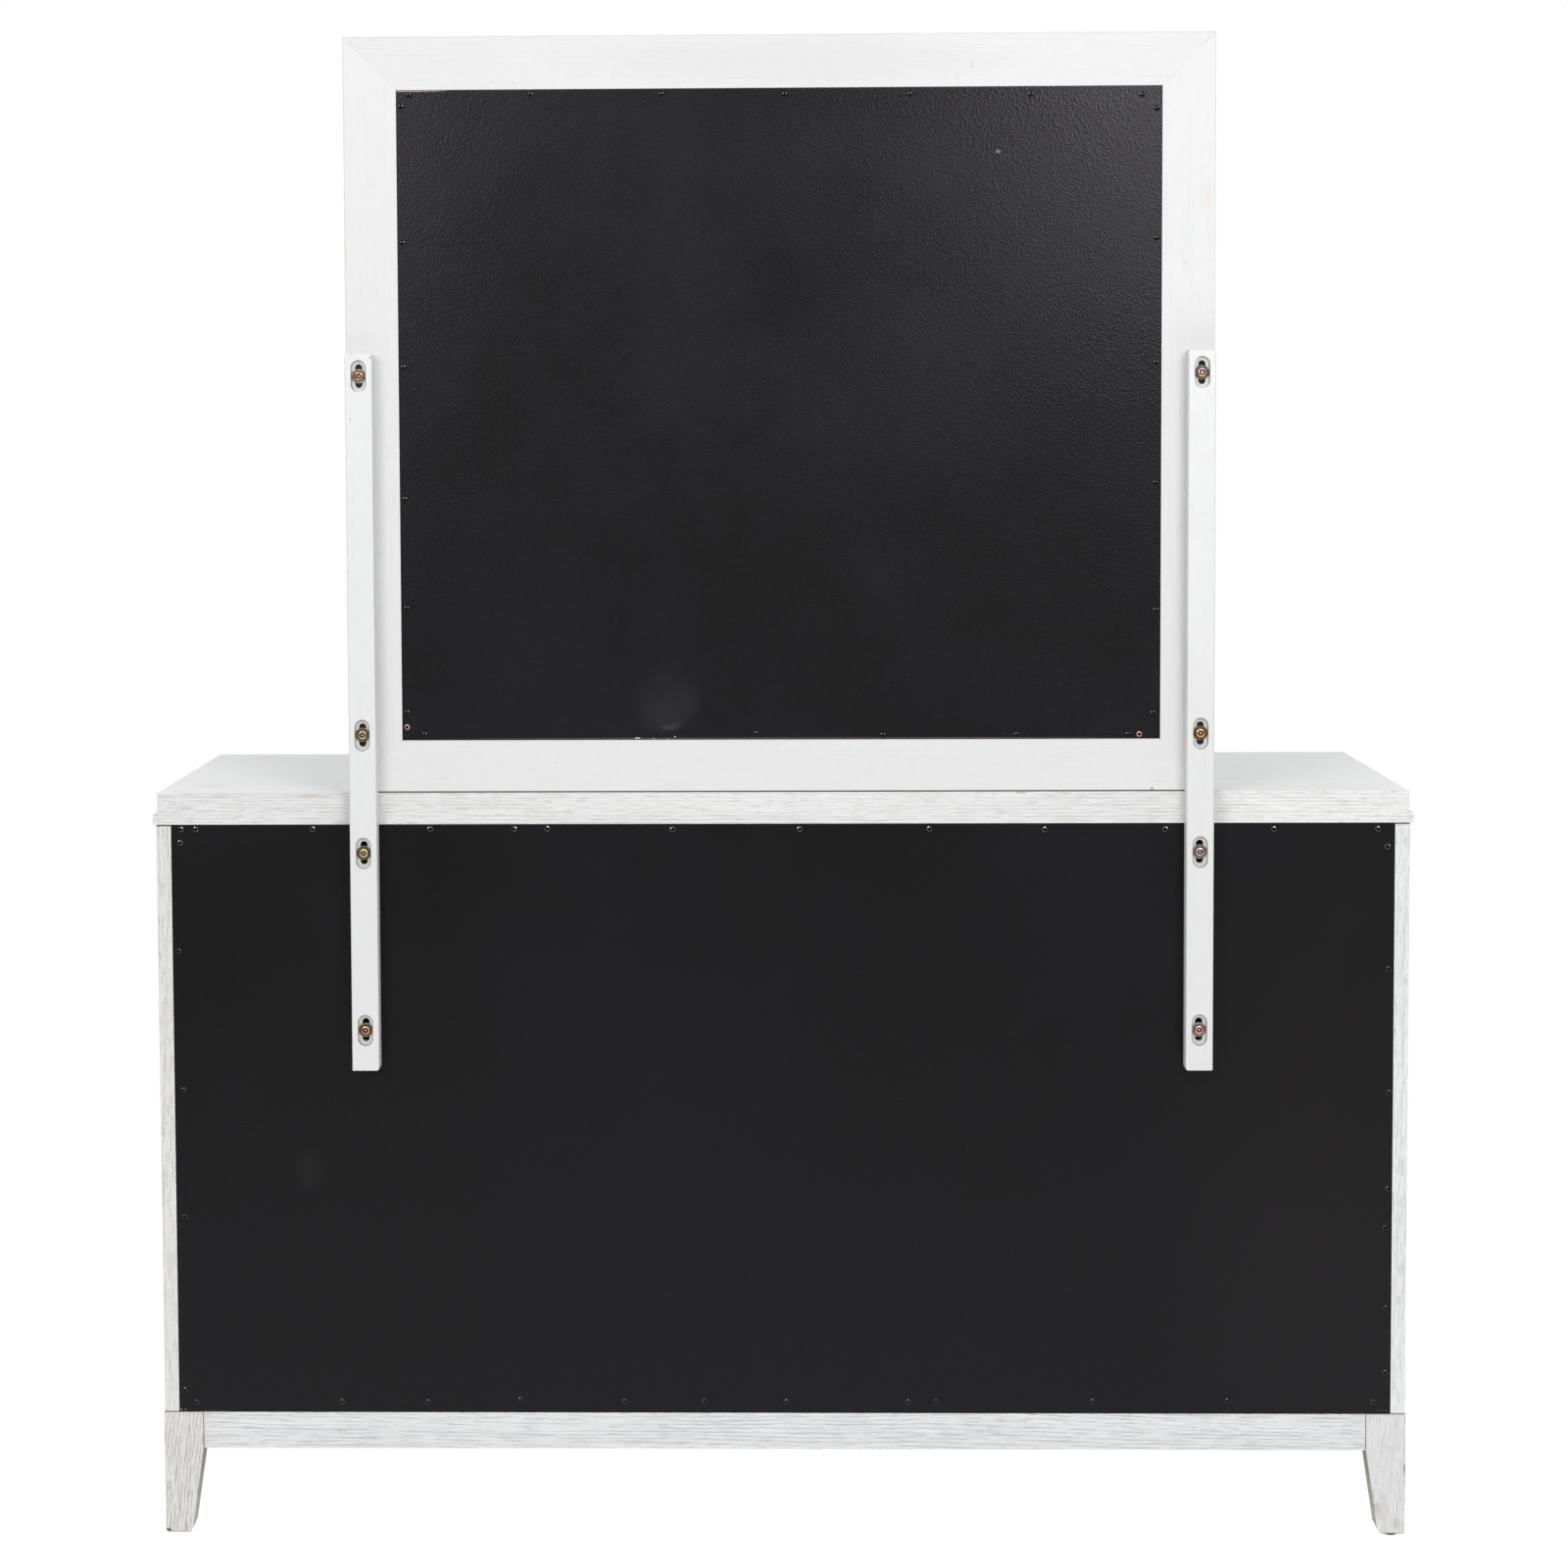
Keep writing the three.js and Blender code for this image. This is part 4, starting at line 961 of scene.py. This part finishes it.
def make_bolt(number, node, tint, film):
    brown = toned(tint, 0.24, 0.15, 0.11)
    looks = (metal(f"{node}_look", toned(tint, 1.06, 1.06, 1.06), brown, rough=0.12,
                   tarnish=0.45, size=300.0, seed=number + 1.0),
             metal(f"{node}_washer_look", film, toned(film, 0.3, 0.3, 0.3), rough=0.38,
                   tarnish=0.7, size=300.0, seed=number + 2.0),
             metal(f"{node}_shadow_look", brown, toned(brown, 0.4, 0.4, 0.4), rough=0.4,
                   size=500.0, seed=number + 3.0))
    bm = bmesh.new()
    low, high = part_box(node)
    middle = (low + high) / 2
    place = facing(middle.x, SEAT_Y * MM, middle.z, rng.uniform(0, math.pi / 3))
    bands = turned(bm, BOLT_PROFILE, BOLT_SIDES, place, six_sided)[1]
    coloured(bands, WASHER_BANDS, WASHER_SLOT)
    coloured(bands, SHADOW_BANDS, SHADOW_SLOT)
    piece(f"{node}_turned", bm, looks, node.partition("_")[0], (node,), sharp=30)


for number, (node, tints) in enumerate(BOLT_TINTS.items()):
    make_bolt(number, node, *tints)


# Pulls

BAR_PROFILE = ((0, -85), (4.6, -85), (5.2, -84.6), (5.5, -83.8), (5.5, 83.8), (5.2, 84.6),
               (4.6, 85), (0, 85))
POST_PROFILE = ((0, 0), (7.7, 0), (8.0, 0.3), (8.0, 2.2), (7.4, 3.0), (4.6, 3.3), (4.0, 4.2),
                (4.0, 21.0), (4.4, 23.5), (4.4, 26.0), (0, 26.0))
BAR_REACH, POST_X, PULL_SIDES = 25.2, 64.0, 32


def shell(profile, place):
    bm = bmesh.new()
    turned(bm, profile, PULL_SIDES, place)
    bmesh.ops.recalc_face_normals(bm, faces=bm.faces)
    return meshed("shell", bm)


def joined_pull():
    """The bar and its two posts as one body, with the drawer front's face at y = 0."""
    bar = shell(BAR_PROFILE, Matrix.Translation((0, -BAR_REACH * MM, 0))
                @ Matrix.Rotation(math.pi / 2, 4, "Y"))
    posts = [shell(POST_PROFILE, Matrix.Translation((x * MM, 0, 0))
                   @ Matrix.Rotation(math.pi / 2, 4, "X")) for x in (-POST_X, POST_X)]
    for post in posts:
        cut = bar.modifiers.new("join", "BOOLEAN")
        cut.operation = "UNION"
        cut.solver = "EXACT"
        cut.object = post
    graph = bpy.context.evaluated_depsgraph_get()
    mesh = bpy.data.meshes.new_from_object(bar.evaluated_get(graph))
    for made in (bar, *posts):
        bpy.data.objects.remove(made)
    return mesh


pull_mesh = joined_pull()
for side in SIDES:
    for row in ROWS:
        low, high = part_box(f"drawer_pull_{row}_{side}")
        bm = bmesh.new()
        bm.from_mesh(pull_mesh)
        bmesh.ops.translate(bm, verts=bm.verts,
                            vec=((low.x + high.x) / 2, high.y, (low.z + high.z) / 2))
        piece(f"pull_{row}_{side}", bm, (pull_look,), f"drawer_{row}_{side}",
              (f"drawer_pull_{row}_{side}",), sharp=30)


# Screws of the back panels

# x and z, in mm
TOP_SCREWS = (
    (758, 906), (739, 906), (591, 906), (442, 906), (336, 906), (294, 906), (136, 905),
    (-24, 905), (-187, 905), (-332, 904), (-483, 904), (-619, 904), (-749, 904), (759, 889),
    (-761, 882),
)
CASE_SCREWS = (
    (763, 751), (759, 573), (760, 410), (763, 186), (-764, 727), (-765, 570), (-765, 447),
    (-762, 397), (-764, 294), (-763, 211), (748, 170), (562, 171), (453, 171), (334, 174),
    (201, 172), (99, 172), (-5, 172), (-159, 172), (-195, 172), (-394, 173), (-564, 174),
    (-749, 173),
)
MIRROR_SCREWS = (
    (460, 1825), (308, 1825), (145, 1824), (-8, 1823), (-163, 1822), (-313, 1821), (-451, 1820),
    (470, 1811), (470, 1642), (470, 1487), (470, 1322), (469, 1185), (470, 1054), (448, 1026),
    (31, 1026), (-129, 1024), (-296, 1024), (-436, 1024), (-469, 1803), (-469, 1643),
    (-469, 1489), (-469, 1339), (-470, 1180), (-467, 1051),
)
BARE_SCREWS = ((470, 1035), (-450, 1024))
SCREW_PROFILE = ((0, -1.5), (1.6, -1.5), (1.6, -0.2), (3.5, -0.2), (3.75, 0.15), (3.6, 0.5),
                 (2.8, 1.15), (2.1, 1.45), (1.3, 1.62), (0.7, 1.62), (0, 1.62))
SHOULDER, CROWN = 5, 6  # bands of a head, from its rim inward
# slots of a screw's looks: the bare rings, and the specks of painted highlight
BARE_SLOT, SPECK_SLOT = 1, 2
RECESS_DEPTH, SCREW_SIDES = 0.9, 24
ARM = SCREW_SIDES // 4


def screws(name, places, node, looks, body, bare=(), specks=(), speck_bands=(), half=0):
    """Domed round heads with a cross recess: black, bare on some bands, and specks of painted
    highlight.

    Each speck lies between its two limits, in degrees from +X, and reaches half degrees each way.
    """
    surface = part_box(node)[1].y
    bm = bmesh.new()
    for x, z in places:
        spot = (x * MM, surface, z * MM)
        place = facing(*spot, rng.uniform(0, math.pi / 2))
        rings, bands = turned(bm, SCREW_PROFILE, SCREW_SIDES, place)
        coloured(bands, bare, BARE_SLOT)
        for limits in specks:
            wanted = rng.uniform(*limits)
            for face in (face for index in speck_bands for face in bands[index]):
                away = face.calc_center_median() - Vector(spot)
                if abs(math.degrees(math.atan2(away.z, away.x)) - wanted) < half:
                    face.material_index = SPECK_SLOT
        sunk = rings[-1] + [v for k, v in enumerate(rings[-2]) if k % ARM in (0, 1, ARM - 1)]
        sunk += [v for k, v in enumerate(rings[-3]) if k % ARM == 0]
        for v in sunk:
            v.co.y -= RECESS_DEPTH * MM
    piece(name, bm, looks, body, sharp=40)


# the top row takes the lit shoulder and the bright painted highlights; the lower case screws take the
# shaded shoulder, and they and the mirror's screws the dim highlights
screws("case_top_screws", TOP_SCREWS, "back_panel", (screw_look, shoulder_look, glint_look),
       "case", (SHOULDER,), ((30, 150),), (SHOULDER, CROWN), 17)
screws("case_back_screws", CASE_SCREWS, "back_panel", (screw_look, dim_shoulder_look, dim_glint_look),
       "case", (SHOULDER,), ((40, 140),), (CROWN,), 9)
screws("mirror_back_screws", MIRROR_SCREWS, "mirror_back_panel",
       (screw_look, screw_look, dim_glint_look), "mirror", (),
       ((25, 40), (140, 155)), (CROWN,), 15)
screws("mirror_bare_screws", BARE_SCREWS, "mirror_back_panel", (screw_look, copper_look),
       "mirror", (SHOULDER, CROWN))


# Stage, light and camera

FLOOR_PROFILE = ((0, 0), (2000, 0), (4000, 0), (9000, 0))
FLOOR_SIDES, FLOOR_FADE = 96, (1.8, 3.8)


def make_floor():
    """A large pale disc whose rim fades into the background."""
    bm = bmesh.new()
    turned(bm, FLOOR_PROFILE, FLOOR_SIDES, Matrix.Identity(4))
    made = meshed("floor", bm)
    s = Shader("floor_look", Specular_IOR_Level=0.1)
    grain = s.noise(40.0, detail=3.0)
    colour = s.mix(grain, (0.15, 0.15, 0.15), (0.17, 0.17, 0.17))
    s.finish(colour, s.scaled(grain, 0.1, 0.8), grain, 0.0002)
    s.bsdf.inputs["Emission Color"].default_value = (1.0, 1.0, 1.0, 1.0)
    s.bsdf.inputs["Emission Strength"].default_value = 0.97
    x, y = s.axes[:2]
    reach = s.math("SQRT", s.math("ADD", s.times(x, x), s.times(y, y)))
    clear = s.node("ShaderNodeBsdfTransparent")
    blend = s.node("ShaderNodeMixShader")
    s.feed(blend.inputs[0], s.step(reach, *FLOOR_FADE))
    s.feed(blend.inputs[1], s.bsdf.outputs[0])
    s.feed(blend.inputs[2], clear.outputs[0])
    s.feed(s.output.inputs[0], blend.outputs[0])
    made.data.materials.append(s.material)


def make_world(light, seen):
    """An even grey light all round, which the camera sees as white."""
    world = bpy.data.worlds.new("studio")
    world.use_nodes = True
    tree = world.node_tree
    tree.nodes.clear()
    path = tree.nodes.new("ShaderNodeLightPath")
    mix = tree.nodes.new("ShaderNodeMixShader")
    output = tree.nodes.new("ShaderNodeOutputWorld")
    for index, (colour, strength) in ((1, light), (2, seen)):
        back = tree.nodes.new("ShaderNodeBackground")
        back.inputs[0].default_value = (*colour, 1.0)
        back.inputs[1].default_value = strength
        tree.links.new(back.outputs[0], mix.inputs[index])
    tree.links.new(path.outputs["Is Camera Ray"], mix.inputs[0])
    tree.links.new(mix.outputs[0], output.inputs[0])
    bpy.context.scene.world = world


def softbox(name, place, target, wide, high, power):
    light = bpy.data.lights.new(name, "AREA")
    light.shape = "RECTANGLE"
    light.size, light.size_y = wide, high
    light.energy = power
    made = linked(name, light)
    made.location = place
    made.rotation_mode = "QUATERNION"
    made.rotation_quaternion = (Vector(target) - Vector(place)).to_track_quat("-Z", "Y")
    made.visible_camera = False


make_floor()
make_world(((0.97, 0.98, 1.0), 0.45), ((1.0, 1.0, 1.0), 1.0))
MIDDLE = (0.0, 0.0, 0.95)
softbox("rear_box_left", (1.65, 3.2, 2.58), MIDDLE, 1.3, 1.7, 42.0)
softbox("rear_box_right", (-1.28, 3.2, 2.60), MIDDLE, 1.3, 1.6, 51.0)
softbox("front_box_left", (2.4, -3.2, 2.3), MIDDLE, 1.4, 2.0, 50.0)
softbox("front_box_right", (-2.4, -3.2, 2.3), MIDDLE, 1.4, 2.0, 50.0)
softbox("overhead_box", (0.0, 0.6, 3.6), (0.0, 0.0, 0.0), 2.4, 2.0, 17.0)

# place in metres, angles in degrees
CAMERA_PLACE = (0.0067787, 4.1806045, 1.4262590)
CAMERA_YAW, CAMERA_PITCH, CAMERA_ROLL = 181.19, -3.4147, -0.2609
camera_data = bpy.data.cameras.new("camera")
camera_data.sensor_width = 36.0
camera_data.lens = 72.511
camera_data.shift_x = 0.04786
camera_data.shift_y = -0.11537
camera = linked("camera", camera_data)
turn = Matrix.Rotation(math.radians(CAMERA_YAW), 4, "Z") \
    @ Matrix.Rotation(math.radians(90 + CAMERA_PITCH), 4, "X") \
    @ Matrix.Rotation(math.radians(CAMERA_ROLL), 4, "Z")
camera.matrix_world = Matrix.Translation(CAMERA_PLACE) @ turn
bpy.context.scene.camera = camera
bpy.context.scene.view_settings.view_transform = "Standard"
